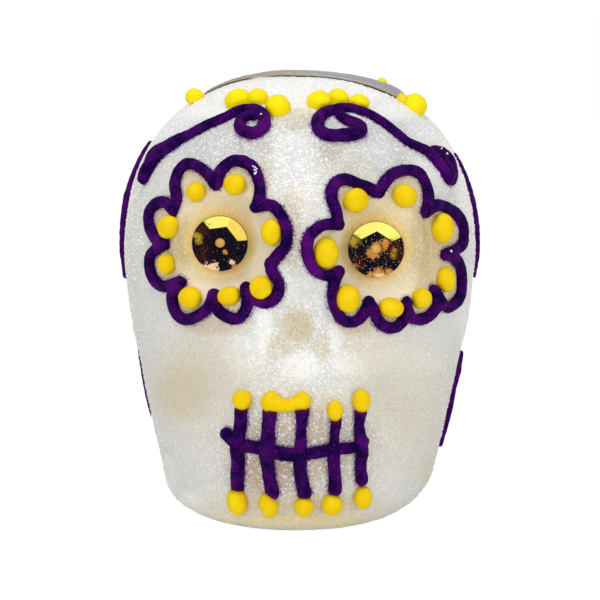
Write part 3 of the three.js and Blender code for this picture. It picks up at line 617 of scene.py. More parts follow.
def sugar_tone(bench, place, rough):
    """Colour of the sugar before its grains and the stains of the icing."""
    patches = bench.noise(place, 0.5, 3.0) - 0.5
    # Painted light: the loose white also lights the crown, the nose side of the socket floors and the upper
    # back.
    color = bench.mixed(attribute(bench, "bright") + patches * rough * 0.9, PLAIN_SUGAR, LOOSE_AND_LIT_SUGAR)
    # Painted shade: the warm colour also shades the hollows.
    color = bench.mixed(attribute(bench, "warm") + patches * rough * 0.5, color, DENSE_AND_SHADED_SUGAR)
    # Painted shade: the dull brown also shades recesses and the outer socket floors.
    color = bench.mixed(attribute(bench, "dull"), color, DULL_AND_SHADED_SUGAR)
    color = bench.mixed(attribute(bench, "shade"), color, SHADED, "MULTIPLY")
    # Inside the flowers a tan floor paints shade and glow: painted light at the nose side, painted shade at
    # the outer side, and a painted glow of the gold near the sequins.
    floor = bench.mixed(attribute(bench, "bright"), FLOOR, LIT_FLOOR)
    floor = bench.mixed(attribute(bench, "dull"), floor, SHADED_FLOOR)
    floor = bench.mixed(attribute(bench, "gold_glow") * 0.85, floor, FLOOR_BY_GOLD)
    return bench.mixed(attribute(bench, "socket_glow"), color, floor)


def stained(bench, color, tone, rough):
    """Violet that crept between the grains, and a yellow tint near the dots and at a few spots."""
    reach = attribute(bench, "violet_creep") + (tone.out("Blue") - 0.5) * 0.8
    violet = reach.between(0.56, 0.76) * (0.55 + rough * 0.4)
    color = bench.mixed(violet, color, (0.20, 0.035, 0.30))
    reach = attribute(bench, "yellow_creep") + (tone.out("Blue") - 0.5) * 0.5
    return bench.mixed(reach.between(0.45, 1.1) * 0.8, color, (0.86, 0.68, 0.06))


print("sugar colours ready")

# %% Sugar material
GRAINS_PER_MM = 3.6


def sugar_look(bench):
    place = object_place(bench)
    cells, tone = grain_cells(bench, place, GRAINS_PER_MM)
    rough = attribute(bench, "rough")
    color = sugar_tone(bench, place, rough)
    contrast = 0.3 + rough * 0.9
    # Each grain's tone varies at random; the lightest grains also get painted glints, and the darkening of
    # the dark grains is partly painted grain shadow.
    light, dark = (tone - 0.5).maths("MAXIMUM", 0), (0.5 - tone).maths("MAXIMUM", 0)
    painted_glint = tone.between(0.80, 0.86) * contrast * (0.5 - attribute(bench, "warm") * 0.4)
    color = bench.mixed(light * contrast * 0.5 + painted_glint, color, (0.99, 0.99, 0.99))
    color = bench.mixed(dark * contrast * 1.1, color, (0.72, 0.69, 0.67), "MULTIPLY")
    color = stained(bench, color, tone, rough)
    normal = bench.bumped(cells + bench.noise(place, 6.0) * 0.6, 0.5, 0.1 * MM)
    return {"Base Color": color, "Roughness": 0.75 - tone.out("Green") * 0.4, "Normal": normal}


sugar = material("sugar", sugar_look, Subsurface_Weight=0.15, Subsurface_Scale=0.002)
print("sugar material has", len(sugar.node_tree.nodes), "nodes")

# %% [markdown]
# ## Finishes: royal icing
#
# The violet icing is so deep that it reads nearly black, with a lighter purple where it is thin and in
# random patches that are painted highlights. Its skin dries dull, with fine sugar in it, so it hardly
# reflects the white room. The yellow icing is smoother and lets light in a little, which is what a small
# subsurface weight does; high on the crown its dots are painted a brighter yellow, as painted light.
# Where one wet colour touches the other, the two run together into a brownish rim. The white icing is only
# seen at the joint and under the sequins.

# %% Icing materials
CROWN_LIGHT_FROM, CROWN_LIGHT_TO = 62, 73


def violet_look(bench):
    place = object_place(bench)
    cloud = bench.noise(place, 0.45, 3.0)
    color = bench.mixed(cloud.between(0.38, 0.62), (0.008, 0.0, 0.042), (0.042, 0.001, 0.096))
    # Lighter purple where the icing is thin, on the joint lines partly as their painted highlight, and in
    # random patches that are painted highlights.
    bloom_and_sheen = bench.noise(place, 0.22, 1.0).between(0.55, 0.72) + attribute(bench, "thin")
    color = bench.mixed(bloom_and_sheen * 0.6, color, (0.105, 0.003, 0.17))
    dust = bench.noise(place, 4.0, 1.0).between(0.64, 0.72)
    color = bench.mixed(dust * 0.45, color, (0.20, 0.05, 0.32))
    color = bench.mixed(attribute(bench, "other_color") * 0.9, color, (0.11, 0.008, 0.012))
    fine = bench.noise(place, 3.2, 3.0)
    normal = bench.bumped(fine, 0.5, 0.12 * MM)
    return {"Base Color": color, "Roughness": 0.5 + fine * 0.3, "Normal": normal}


def yellow_look(bench):
    place = object_place(bench)
    level = bench.add("ShaderNodeSeparateXYZ", None, [place]).out("Z")
    cloud = bench.noise(place, 0.5)
    color = bench.mixed(cloud.between(0.35, 0.7), (0.84, 0.565, 0.0), (0.87, 0.635, 0.003))
    # Painted light: yellow high on the crown is brighter, as the overhead light falls on it.
    color = bench.mixed(level.between(CROWN_LIGHT_FROM, CROWN_LIGHT_TO), color, (0.97, 0.78, 0.003))
    color = bench.mixed(attribute(bench, "thin"), color, (0.60, 0.36, 0.04))
    color = bench.mixed(attribute(bench, "other_color") * 0.75, color, (0.33, 0.12, 0.01))
    fine = bench.noise(place, 1.6, 3.0)
    normal = bench.bumped(fine, 0.3, 0.15 * MM)
    return {"Base Color": color, "Roughness": 0.45 + fine * 0.2, "Normal": normal}


def white_look(bench):
    fine = bench.noise(object_place(bench), 1.8, 3.0)
    color = bench.mixed(fine, (0.80, 0.77, 0.70), (0.88, 0.86, 0.82))
    normal = bench.bumped(fine, 0.4, 0.15 * MM)
    return {"Base Color": color, "Roughness": 0.5 + fine * 0.2, "Normal": normal}


violet_icing = material("violet_icing", violet_look, Specular_IOR_Level=0.03)
yellow_icing = material("yellow_icing", yellow_look, Specular_IOR_Level=0.12, Subsurface_Weight=0.15,
                        Subsurface_Scale=0.002)
white_icing = material("white_icing", white_look)
print("icing materials ready")

# %% [markdown]
# ## The drawn lines
#
# These are the middle lines of the beads, read on a grid laid over the portrait: a flower round
# each socket with eight petals, a curl with a long tail over each brow, five upright strokes and one cross
# line for the teeth, and the lines along the joint. Every petal is a line of its own that starts in one
# notch and ends in the next, because that is how the hand pipes it.

# %% Flowers and scrolls in picture points
LEFT_FLOWER = [
    [(173, 210), (176.5, 199), (175, 183), (180.5, 168.5), (190, 163.5), (202, 169), (211, 178),
     (216, 187)],
    [(216, 187), (220, 172), (231.5, 161.5), (243, 161.5), (253.5, 168.5), (259.2, 183), (259.3, 197),
     (256, 207)],
    [(256, 207), (271, 205.5), (281.5, 215.5), (286.5, 230), (285.5, 245.5), (278, 255), (271, 263.5)],
    [(271, 263.5), (272, 272), (279, 284), (276, 297), (265.5, 303), (252, 298.5), (246, 288)],
    [(246, 288), (247, 305), (241, 316.5), (234, 319), (224, 315), (216.5, 308), (214, 293)],
    [(214, 293), (206, 310), (188, 319.5), (177, 314.5), (172, 299), (175, 287.5), (182, 281)],
    [(182, 281), (164.5, 286.5), (154.5, 280), (150, 268), (151, 254.5), (164, 244.5)],
    [(164, 244.5), (154.5, 237), (149, 223.5), (150, 210.5), (158, 202.5), (166.5, 203), (173, 210)],
]
RIGHT_FLOWER = [
    [(338, 224), (336.5, 212), (332, 199), (332, 189), (337, 181.5), (346, 179.3), (358, 183.5),
     (369, 188), (378.5, 194.5)],
    [(378.5, 194.5), (384.5, 183), (393, 174), (407, 170), (418.5, 173), (425.5, 183), (428.5, 197),
     (426, 212)],
    [(426, 212), (437, 205), (447, 207.5), (456, 213.5), (462, 223), (463.5, 234), (461, 246),
     (446, 254.5)],
    [(446, 254.5), (455.5, 259), (460.5, 268), (461.5, 281), (460.5, 294.5), (455, 303.5),
     (445.5, 306.5), (434, 290.5)],
    [(434, 290.5), (438, 302.5), (433, 312.5), (424, 318.7), (413, 318.5), (407.5, 310), (406, 300.5)],
    [(406, 300.5), (406, 315), (398, 326), (387, 327.5), (378, 320), (373.5, 309), (369, 301)],
    [(369, 301), (365, 312), (357, 320.5), (348, 322), (340, 317), (334.7, 306), (333, 294),
     (334.5, 282), (339, 271.5)],
    [(339, 271.5), (330, 275.5), (318.5, 273), (310.5, 264), (307, 250), (308.5, 238.5), (315, 230),
     (324.5, 225), (338, 224)],
]
LEFT_SCROLL = [
    [(257, 117.5), (250, 116), (243.5, 118), (240, 123), (241.5, 129), (248, 132.5), (256, 132.7),
     (262.5, 127.5), (264.5, 119.5), (260.5, 112.5), (252, 109.7), (243, 110), (234, 113), (225, 117.5),
     (215, 121.7), (205, 126.3), (195, 131.5), (187, 135.8), (178, 140.5), (170, 145.5), (162, 151.5),
     (156, 158), (151, 165), (147, 171.5), (144, 178), (142, 184.5)],
    [(168, 143.5), (160, 146.5), (152.5, 152.5), (148.3, 160), (146.5, 168)],
]
RIGHT_SCROLL = [
    [(337.5, 113.5), (343, 118), (350, 121.5), (358, 125.5), (360.5, 130), (353, 134), (342, 135),
     (330, 135.3), (321.5, 132), (318, 125.5), (318.5, 119), (324, 113.5), (332, 110.5), (341, 108.5),
     (350.5, 108.5), (360.5, 111), (370.5, 114.8), (379.5, 120), (388.7, 126.5), (398.5, 134.5),
     (406.5, 141), (415, 145.3), (424, 149.3), (431, 154.5), (438, 162.5), (443.5, 170.5), (448, 178),
     (451.5, 184)],
    [(431, 147.8), (439, 149.5), (446.5, 154.5), (451.3, 161.5), (453.5, 169.5), (453.5, 177),
     (451.5, 183.5)],
    [(438, 154), (445, 162), (449, 171), (450, 178)],
]
print(len(LEFT_FLOWER) + len(RIGHT_FLOWER), "petals")

# %% Teeth and joint lines in picture points
MOUTH = [
    (221.5, 430.5), (227, 434.5), (232.5, 440), (240, 445), (252, 446.7), (265, 449), (280, 453.3),
    (300, 455), (313, 453.3), (325, 450.8), (338, 449), (350, 448.3), (360, 445), (367.5, 437)
]
TEETH = [
    [(241, 404), (240.7, 415), (240.3, 427), (239.5, 440), (238.7, 452), (238, 465), (237.3, 480),
     (237.7, 494)],
    [(270, 405), (269.5, 415), (268.3, 427), (268.3, 442), (267.5, 455), (268.3, 470), (270.8, 485),
     (274, 500)],
    [(302.5, 404), (302.2, 415), (301.7, 425), (300.8, 441), (300, 458), (300.3, 473), (303.3, 487),
     (306, 499.5)],
    [(336.7, 415), (336, 424), (335, 433), (333.3, 447), (333.3, 460), (335, 477), (335, 496)],
    [(361.7, 405), (360.5, 415), (359, 427), (359, 441), (360.8, 455), (360.8, 468), (362.3, 485.5)],
]
JOINT_LINES = {
    "side_line_upper_left": [
        (152, 141), (145.5, 149), (140, 161), (135.5, 178), (131.5, 195), (128.5, 210), (126, 225),
        (123.7, 242), (121.7, 262), (120.5, 279)
    ],
    "side_line_lower_left": [
        (138.6, 347), (143.5, 366), (147, 385), (149.5, 402), (152.8, 418)
    ],
    "side_line_upper_right": [
        (455.5, 152), (462.5, 162), (469.5, 177), (474.5, 193), (477, 210), (479, 230), (480, 246),
        (479, 262), (477, 278)
    ],
    "side_line_lower_right": [
        (464, 350), (461.5, 363), (456, 381), (450.5, 399), (446, 416), (443, 436), (441, 447)
    ],
}
print(len(TEETH), "tooth strokes,", len(JOINT_LINES), "joint lines")

# %% [markdown]
# ## Piping the violet beads
#
# Each drawn line becomes a chain of points on the swollen skin, with the bead's radius in millimetres
# stored on every point. The tree sweeps them, and a voxel remesh melts the beads of one flower into each
# other, as wet icing does.

# %% One body of icing
BEAD_RISE, BEAD_STEP, BEAD_VOXEL = 0.45 * MM, 0.18 * MM, 0.155 * MM
BEAD_UNEVENNESS, BEAD_LUMPS = 0.28, 0.3 * MM
MELTED = [("REMESH", {"mode": "VOXEL", "voxel_size": BEAD_VOXEL, "use_smooth_shade": True}),
          ("SMOOTH", {"factor": 0.5, "iterations": 2})]
violet_pieces, yellow_pieces, pieces = [], [], []


def bead_piece(name, lines, widths, icing, rise=BEAD_RISE, seed=0, lift=None, carry=carried):
    """Icing along drawn lines, each with radii in millimetres spread evenly from its start to its end."""
    points, edges, radius = [], [], []
    for line, width in zip(lines, widths):
        drawn = soft_line(line)
        first = len(points)
        radius += list(np.interp(np.linspace(0, 1, len(drawn)), np.linspace(0, 1, len(width)), width) * MM)
        for u, v in drawn:
            place, normal = carry(u, v, rise)
            points.append(place + normal * (lift(u, v) if lift else 0))
        edges += [(i, i + 1) for i in range(first, len(points) - 1)]
    piece = add_mesh(name, points, [], edges)
    store(piece, "bead_radius", radius)
    values = {"Step": BEAD_STEP, "Unevenness": BEAD_UNEVENNESS, "Lumps": BEAD_LUMPS, "Seed": seed}
    run_tree(piece, bead_nodes, {**values, "Material": icing}, MELTED)
    (violet_pieces if icing is violet_icing else yellow_pieces).append(piece)
    return piece


def keep(piece, slot, *replaced):
    """Notes a piece, the slot it takes and the CAD nodes it stands for, for the last cell."""
    pieces.append((piece, slot, replaced))


print("a bead stands", round(BEAD_RISE / MM, 2), "mm off the sugar")

# %% Flowers and scrolls
TIP_REACH = 3.8
PETAL_WIDTHS = (1.1, 1.03, 1.08, 1.03, 1.1)
SCROLL_WIDTHS = {
    "left": [(0.8, 1.15, 1.15, 1.12, 1.0, 0.95, 0.95, 1.35, 1.45, 1.3), (0.5, 0.75, 0.75, 0.6)],
    "right": [(1.0, 1.25, 1.2, 1.15, 1.0, 0.92, 0.85, 0.85, 1.0, 1.0), (0.45, 0.8, 0.85, 0.85, 0.8),
              (0.7, 1.0, 0.9)],
}


def with_tips(petal, middle):
    """The nozzle starts and stops a little inside the flower, so a notch ends in a blunt tip."""
    tips = []
    for u, v in (petal[0], petal[-1]):
        toward = np.subtract(middle, (u, v))
        tips.append(tuple(np.add((u, v), toward / np.hypot(*toward) * TIP_REACH)))
    return [tips[0], *petal, tips[1]]


# Petals, middle in the picture, seed
FLOWERS = {"left": (LEFT_FLOWER, (220, 243), 3), "right": (RIGHT_FLOWER, (376, 249), 11)}
for side, (flower, middle, seed) in FLOWERS.items():
    lines = [with_tips(petal, middle) for petal in flower]
    made = bead_piece(f"{side}_petals", lines, [PETAL_WIDTHS] * len(flower), violet_icing, seed=seed)
    keep(made, "purple_icing", f"{side}_eye_flower")
    print(made.name, len(made.data.polygons), "faces")

for side, scroll in (("left", LEFT_SCROLL), ("right", RIGHT_SCROLL)):
    made = bead_piece(f"{side}_brow_curl", scroll, SCROLL_WIDTHS[side], violet_icing, seed=23)
    keep(made, "purple_icing", f"{side}_brow_scroll")
    print(made.name, len(made.data.polygons), "faces")

# %% Mouth and teeth
MOUTH_WIDTHS = (1.15, 1.15, 1.25, 1.1, 1.0, 0.9)
TOOTH_WIDTHS = [(1.15, 1.1, 1.3, 1.25, 1.25), (1.25, 1.2, 1.4, 1.2, 1.25), (1.4, 0.85, 1.2, 1.15, 1.35),
                (1.0, 0.85, 1.15, 1.05, 1.3), (1.2, 0.9, 1.2, 1.05, 1.15)]
CROSSING_LIFT, CROSSING_REACH = 0.85 * MM, 3 * MM
mouth_line = np.array(soft_line(MOUTH))


def over_mouth(u, v):
    """A tooth stroke climbs over the mouth line, which was piped first."""
    apart = float(np.min(np.hypot(*(mouth_line - (u, v)).T))) / PICTURE_SCALE
    near = max(0.0, 1 - apart / CROSSING_REACH)
    return CROSSING_LIFT * near * near * (3 - 2 * near)


made = bead_piece("mouth_cross_line", [MOUTH], [MOUTH_WIDTHS], violet_icing, seed=31)
keep(made, "purple_icing", "mouth_line")
for number, (tooth, widths) in enumerate(zip(TEETH, TOOTH_WIDTHS), start=1):
    name = f"tooth_bead_{number}"
    made = bead_piece(name, [tooth], [widths], violet_icing, seed=40 + number, lift=over_mouth)
    keep(made, "purple_icing", f"tooth_stroke_{number}")
print(len(TEETH), "teeth over one mouth line")

# %% Joint lines
JOINT_RISE, JOINT_THIN = 0.2 * MM, 0.45
JOINT_WIDTHS = {
    "side_line_upper_left": (0.6, 0.9, 1.15, 1.15, 1.0, 0.85),
    "side_line_lower_left": (0.3, 0.5, 0.65, 0.65, 0.4),
    "side_line_upper_right": (0.25, 0.5, 0.7, 0.75, 0.6, 0.25),
    "side_line_lower_right": (0.4, 0.8, 0.6, 0.8, 0.65, 0.45),
}
JOINT_LEADS = {"side_line_upper_left": 1.7 * MM, "side_line_lower_left": 1.4 * MM}


def node_depth(name):
    low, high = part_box(name)
    return (low.y + high.y) / 2


for name, line in JOINT_LINES.items():
    flank = beside(node_depth(name) - JOINT_LEADS.get(name, 0))
    widths = [JOINT_WIDTHS[name]]
    made = bead_piece(f"{name}_bead", [line], widths, violet_icing, JOINT_RISE, seed=51, carry=flank)
    # Marked thin: a lighter purple, partly a painted highlight along the line.
    store(made, "thin", JOINT_THIN)
    keep(made, "purple_icing", name)
print(len(violet_pieces), "pieces of violet icing on the sugar")

# %% [markdown]
# ## Dots of yellow icing
#
# A dot is a blob that the nozzle leaves when it is lifted straight up: round, a little flat below, with a
# slight pull at the top. Thirty of them stand alone, and Geometry Nodes place those: one blob, instanced
# on points that store each dot's size and turn, then made real and pushed about by noise so that no two
# are alike.

# %% Geometry Nodes: the dots
DOT_RISE, DOT_LUMPS = 1.0 * MM, 0.35 * MM
DOT_SPREAD, DOT_HEIGHT, FOREHEAD_HEIGHT = 1.04, 0.95, 1.0
BLOB_SEAT, BLOB_TIP = -0.7, 0.10


def dot_tree():
    bench, given, sink = geometry_tree("icing_dots", {"Seed": "Int", "Material": "Material"})
    ball = bench.add("GeometryNodeMeshUVSphere", None, {"Segments": 28, "Rings": 18, "Radius": 1.0})
    here = bench.add("ShaderNodeSeparateXYZ", None, [bench.add("GeometryNodeInputPosition")])
    up, apart = here.out("Z"), (here.out("X") ** 2 + here.out("Y") ** 2).maths("SQRT")
    tip = (1 - apart * 2.2).maths("MAXIMUM", 0)
    height = up.maths("MAXIMUM", BLOB_SEAT) + tip * tip * BLOB_TIP * up
    moved = bench.add("ShaderNodeCombineXYZ", None, {"X": here.out("X"), "Y": here.out("Y"), "Z": height})
    shaped = bench.add("GeometryNodeSetPosition", None, {"Geometry": ball, "Position": moved})
    dots = bench.add("GeometryNodeInstanceOnPoints", None, {
        "Points": given["Geometry"], "Instance": shaped,
        "Rotation": named(bench, "dot_turn", "QUATERNION"),
        "Scale": named(bench, "dot_size", "FLOAT_VECTOR")})
    real = bench.add("GeometryNodeRealizeInstances", None, [dots])
    shifted = bench.moved(in_millimetres(bench), given["Seed"])
    lumpy = pushed_out(bench, real, (bench.noise(shifted, 0.55, 1.0) - 0.5) * DOT_LUMPS)
    rounded = bench.add("GeometryNodeSetShadeSmooth", None, [lumpy])
    return finish_tree(bench, sink, rounded, given["Material"])


def facing_turn(normal, lean):
    """A turn that sets a blob's top along normal and its long way along the picture, leaned by an angle."""
    right = Vector((math.cos(lean), 0, math.sin(lean)))
    right = (right - normal * right.dot(normal)).normalized()
    return Matrix((right, normal.cross(right), normal)).transposed().to_quaternion()


dot_nodes = dot_tree()
print("dot tree has", len(dot_nodes.nodes), "nodes")

# %% Rows of dots


def dots_piece(name, dots, seed, high=DOT_HEIGHT):
    """Blobs from picture points: across, down, half width, half height, and a lean in degrees."""
    middles, sizes, turns = [], [], []
    for u, v, wide, tall, *lean in dots:
        place, normal = carried(u, v, DOT_RISE)
        scale = (1 - (place - picture_middle).dot(sight_axis) / SIGHT_DISTANCE) / PICTURE_SCALE
        middles.append(place)
        sizes.append(Vector((wide, tall, high * min(wide, tall))) * scale * DOT_SPREAD)
        turns.append(facing_turn(normal, math.radians(lean[0] if lean else 0)))
    piece = add_mesh(name, middles, [])
    stored = piece.data.attributes
    stored.new("dot_size", "FLOAT_VECTOR", "POINT").data.foreach_set("vector", np.ravel(sizes))
    stored.new("dot_turn", "QUATERNION", "POINT").data.foreach_set("value", np.ravel(turns))
    yellow_pieces.append(piece)
    return run_tree(piece, dot_nodes, {"Seed": seed, "Material": yellow_icing})


LEFT_DOTS = [
    (195.8, 191.5, 9.6, 9.8), (235, 184.5, 10.8, 10.8), (271, 232.5, 10.5, 13), (261, 287.5, 11, 11.3),
    (229, 296, 11.7, 9.8), (190, 297.5, 12, 11), (166, 264, 8.5, 10.2), (168, 227, 11.6, 10.8, 25)
]
RIGHT_DOTS = [
    (356, 200.5, 12.6, 12), (405, 196, 12.8, 11.2), (443, 228, 11.4, 14.6), (446.5, 279.5, 9.3, 12.6),
    (422, 298.5, 10.3, 10), (391, 307.5, 12.8, 9.8), (348, 298.5, 12.7, 14), (326, 253, 12.6, 15.6)
]
for side, dots in (("left", LEFT_DOTS), ("right", RIGHT_DOTS)):
    made = dots_piece(f"{side}_socket_dots", dots, seed=5)
    keep(made, "yellow_icing", *[f"{side}_eye_dot_{i}" for i in range(1, 9)])

FOREHEAD_DOTS = [
    (238, 100.5, 13, 11.2), (257.8, 98.5, 10.4, 10), (277.6, 107, 12.4, 12), (319.3, 102, 12.2, 11.2),
    (338.4, 98.4, 10.2, 9.8), (358.8, 103.7, 10.3, 9.8)
]
made = dots_piece("forehead_dot_row", FOREHEAD_DOTS, seed=9, high=FOREHEAD_HEIGHT)
keep(made, "yellow_icing", *[f"forehead_dot_{i}" for i in range(1, 7)])
print(len(LEFT_DOTS) + len(RIGHT_DOTS) + len(FOREHEAD_DOTS), "dots so far")

# %% [markdown]
# ## Dots above and below the teeth
#
# Two of the upper dots ran together into one bridge, which is piped like a bead. The lower dots lean,
# because the hand pulled away sideways.

# %% Tooth dots
UPPER_DOTS = [(241.7, 400, 9.5, 10), (335.3, 410.5, 7.7, 10.3), (361.7, 401, 9, 11.7)]
LOWER_DOTS = [
    (236.7, 501.7, 10, 14, 12), (268.3, 505, 9.3, 12.6, 14), (303.7, 506.7, 9.4, 10),
    (332, 505, 10.5, 10.8, -10), (363.3, 497.5, 9, 11.7)
]
JOINED_LINES = [
    [(261.5, 399), (270.8, 402), (280, 405), (287, 406), (295, 403.5), (303, 401), (311, 398.5)],
    [(271.5, 400), (271.5, 410.5)],
    [(301, 401), (301.5, 408.5)],
]
JOINED_WIDTHS = [(1.75, 2.0, 1.3, 1.1, 1.3, 1.8, 1.7), (1.7, 1.6), (1.3, 1.2)]
JOINED_RISE = 0.75 * MM

made = dots_piece("upper_tooth_dot_row", UPPER_DOTS, seed=13)
keep(made, "yellow_icing", *[f"upper_tooth_dot_{i}" for i in (1, 4, 5)])
made = dots_piece("lower_tooth_dot_row", LOWER_DOTS, seed=17)
keep(made, "yellow_icing", *[f"lower_tooth_dot_{i}" for i in range(1, 6)])
made = bead_piece("joined_tooth_dots", JOINED_LINES, JOINED_WIDTHS, yellow_icing, JOINED_RISE, seed=19)
keep(made, "yellow_icing", "upper_tooth_dots_2_3")
print(len(UPPER_DOTS) + len(LOWER_DOTS), "round tooth dots")

# %% [markdown]
# ## Dots on the foil
#
# The foil is held by dots of the same icing: one at each front corner, dragged a little towards the foil,
# and a small one on top. From the right one a thin smear runs up along the foil's edge.

# %% Foil dots and smear
FOIL_DOTS = {
    "foil_dot_left": ([(189.5, 104), (191.5, 100), (195.5, 96.5), (203.5, 93)], (1.5, 1.75, 1.5, 0.7)),
    "foil_dot_right": ([(423.5, 114.5), (418.5, 109), (412, 104), (403.5, 99)], (1.7, 2.35, 2.3, 1.5)),
    "foil_dot_back": ([(375.5, 83.5), (381, 83.5), (386.5, 86.5)], (0.9, 1.25, 0.9)),
}
SMEAR = [(406, 103), (399.5, 97.5), (393, 93), (386, 89), (380, 86)]
SMEAR_WIDTHS = (1.3, 1.0, 0.7, 0.5, 0.35)
SMEAR_RISE, SMEAR_THIN = 0.6 * MM, 0.3

for name, (line, widths) in FOIL_DOTS.items():
    plane = at_depth(node_depth(name))
    made = bead_piece(f"{name}_blob", [line], [widths], yellow_icing, seed=66, carry=plane)
    keep(made, "yellow_icing", name)
smear = bead_piece("foil_smear", [SMEAR], [SMEAR_WIDTHS], yellow_icing, SMEAR_RISE, seed=63)
store(smear, "thin", SMEAR_THIN)
keep(smear, "yellow_icing")
print(len(pieces), "pieces of icing")

# %% [markdown]
# ## Where the two colours touch
#
# Wet yellow over half-dry violet runs into it, and both turn brown at the rim. A tree of all points of one
# colour answers how far any point of the other colour is from it, and that nearness becomes an attribute.
# The same two trees will stain the sugar.

# %% Nearness of the icings
ICING_REACH = 0.7 * MM


def tree_of(marked):
    """Finds the nearest of every third point of some pieces."""
    spots = np.concatenate([places(piece)[::3] for piece in marked])
    tree = KDTree(len(spots))
    for i, spot in enumerate(spots):
        tree.insert(spot, i)
    tree.balance()
    return tree


def nearness(tree, points, reach):
    """1 where a point touches the marked pieces, falling to 0 at reach from them."""
    return np.clip(1 - np.array([tree.find(p)[2] for p in points]) / reach, 0, 1)


violet_tree, yellow_tree = tree_of(violet_pieces), tree_of(yellow_pieces)
for marked, tree in ((violet_pieces, yellow_tree), (yellow_pieces, violet_tree)):
    for piece in marked:
        store(piece, "other_color", nearness(tree, places(piece), ICING_REACH))
print("both icings marked")

# %% [markdown]
# ## Pressed sequins
#
# A cup sequin is punched from gold film and pressed over a hexagonal die: a flat hexagon with a hole, and
# six flat facets that rise to a round rim. Its film mirrors what stands before it, so the flat looks black
# and the upper facets bright. That reflection is painted in as a stored tone per facet, black on the flat,
# the rim and the lower facets and gold on the upper ones, so it looks the same from every side, and a few
# gold patches on the black are painted reflection too. These two are worn: brown icing shows through
# scratches and under the hole, and grains of sugar stick to them. The stains and the gold patches are a
# few round marks with ragged edges, in shares of the sequin's radius.

# %% Sequin mesh
SEQUIN_SIDES, FLAT_RINGS, FACET_RINGS = 144, 9, 8
FLAT_SHARE, HOLE_SHARE, FACET_SHARE, RIM_SHARE = 0.55, 0.17, 0.962, 0.97
CUP_DEPTH, FILM = 0.62 * MM, 0.16 * MM
EDGE = 0.06 * MM
# One kind is no stain but gold patches of painted reflection on the black facets.
STAINS = ("tan", "wine", "pale", "clean")


def stain_strength(kind, across, up, marks):
    """The strongest mark of one kind at a place in shares of the radius: full within half its size."""
    strengths = [strength * (1.5 - math.hypot(across - x, up - z) / size)
                 for stain, x, z, size, strength in marks if stain == kind]
    return max([0.0, *strengths])


def sequin(side, turn, facets, scratched, marks):
    """The film as rings of points, with each facet's painted reflection and each stain's strength on them.
    """
    low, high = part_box(f"{side}_eye_sequin")
    middle, radius = (low + high) / 2, (high.x - low.x) / 2
    flat = FLAT_SHARE * radius
    points, stored = [], {name: [] for name in ("facet_tone", "lemon", *STAINS)}
    for k in range(SEQUIN_SIDES):
        angle, sector = 2 * math.pi * k / SEQUIN_SIDES, math.pi / 3
        reach = math.cos((angle % sector) - sector / 2)
        gold, lemon = facets[int(angle // sector) % 6]
        outs = [*np.linspace(HOLE_SHARE * radius, flat / reach - EDGE, FLAT_RINGS),
                *np.linspace(flat / reach + EDGE, FACET_SHARE * radius, FACET_RINGS), radius]
        for layer, out in [(0, out) for out in outs] + [(FILM, out) for out in outs[::-1]]:
            rise = CUP_DEPTH * max(0, out * reach - flat) / (radius - flat)
            x, z = out * math.cos(angle + turn), out * math.sin(angle + turn)
            points.append((middle.x + x, high.y - 2 * FILM - rise + layer, middle.z + z))
            on_facet = flat + EDGE / 2 < out * reach and out < RIM_SHARE * radius
            stored["facet_tone"].append(gold if on_facet else 0.0)
            stored["lemon"].append(lemon)
            for kind in STAINS:
                stored[kind].append(stain_strength(kind, x / radius, z / radius, marks))
    index = np.pad(np.arange(len(points)).reshape(SEQUIN_SIDES, -1), ((0, 1), (0, 1)), "wrap")
    made = add_mesh(f"{side}_cup_sequin", points, grid_quads(index).tolist())
    for name, values in {**stored, "scratched": scratched}.items():
        store(made, name, values)
    return made


print("film", round(FILM / MM, 2), "mm thick, cup", round(CUP_DEPTH / MM, 2), "mm deep")

# %% Gold film


def gold_look(bench):
    place = object_place(bench)
    lemon, facet = attribute(bench, "lemon"), attribute(bench, "facet_tone")
    ragged = (bench.noise(place, 1.3, 3.0) - 0.5) * 1.8 + (bench.noise(place, 4.0) - 0.5) * 1.8
    # Painted reflection: the upper facets are bright gold, lemon or mottled, the rest near black.
    bright = bench.mixed(lemon, (0.93, 0.63, 0.09), (1.0, 0.90, 0.19))
    mottled = bench.noise(place, 0.9, 4.0).between(0.48, 0.66)
    bright = bench.mixed(mottled * (0.55 - lemon * 0.5), bright, (0.98, 0.80, 0.16))
    color = bench.mixed(facet, (0.006, 0.005, 0.010), bright)
    covered = 0
    # Stains, and gold patches of painted reflection on the black.
    for stain, tint, low, high in (
        ("wine", (0.050, 0.010, 0.008), 0.2, 1.2), ("clean", (0.40, 0.265, 0.02), 0.3, 1.5),
        ("tan", (0.55, 0.235, 0.035), 0.35, 1.0), ("pale", (0.84, 0.58, 0.32), 0.5, 0.8),
    ):
        mark = attribute(bench, stain)
        share = (mark + ragged).between(low, high) * mark.between(0.0, 0.15)
        color = bench.mixed(share, color, tint)
        covered = share.maths("MAXIMUM", covered) if stain in ("tan", "pale") else covered
    specks = bench.noise(place, 4.2, 1.0).between(0.66, 0.71)
    specks = specks * (0.15 + attribute(bench, "scratched") * 0.85) * (1 - facet.between(0.2, 0.5))
    color = bench.mixed(specks * 0.75, color, (0.62, 0.50, 0.36))
    bare = 1 - specks.maths("MAXIMUM", covered)
    normal = bench.bumped(bench.noise(place, 1.5), 0.2, 0.05 * MM)
    return {"Base Color": color, "Roughness": 0.65 - bare * 0.5, "Metallic": bare, "Normal": normal}


gold_film = material("gold_film", gold_look, Specular_IOR_Level=0.2)
print("gold film has", len(gold_film.node_tree.nodes), "nodes")

# %% Both sequins
# A facet whose painted reflection is black.
DARK_REFLECTION = (0.0, 0.0)
LEFT_TURN, RIGHT_TURN = math.radians(8), math.radians(27)
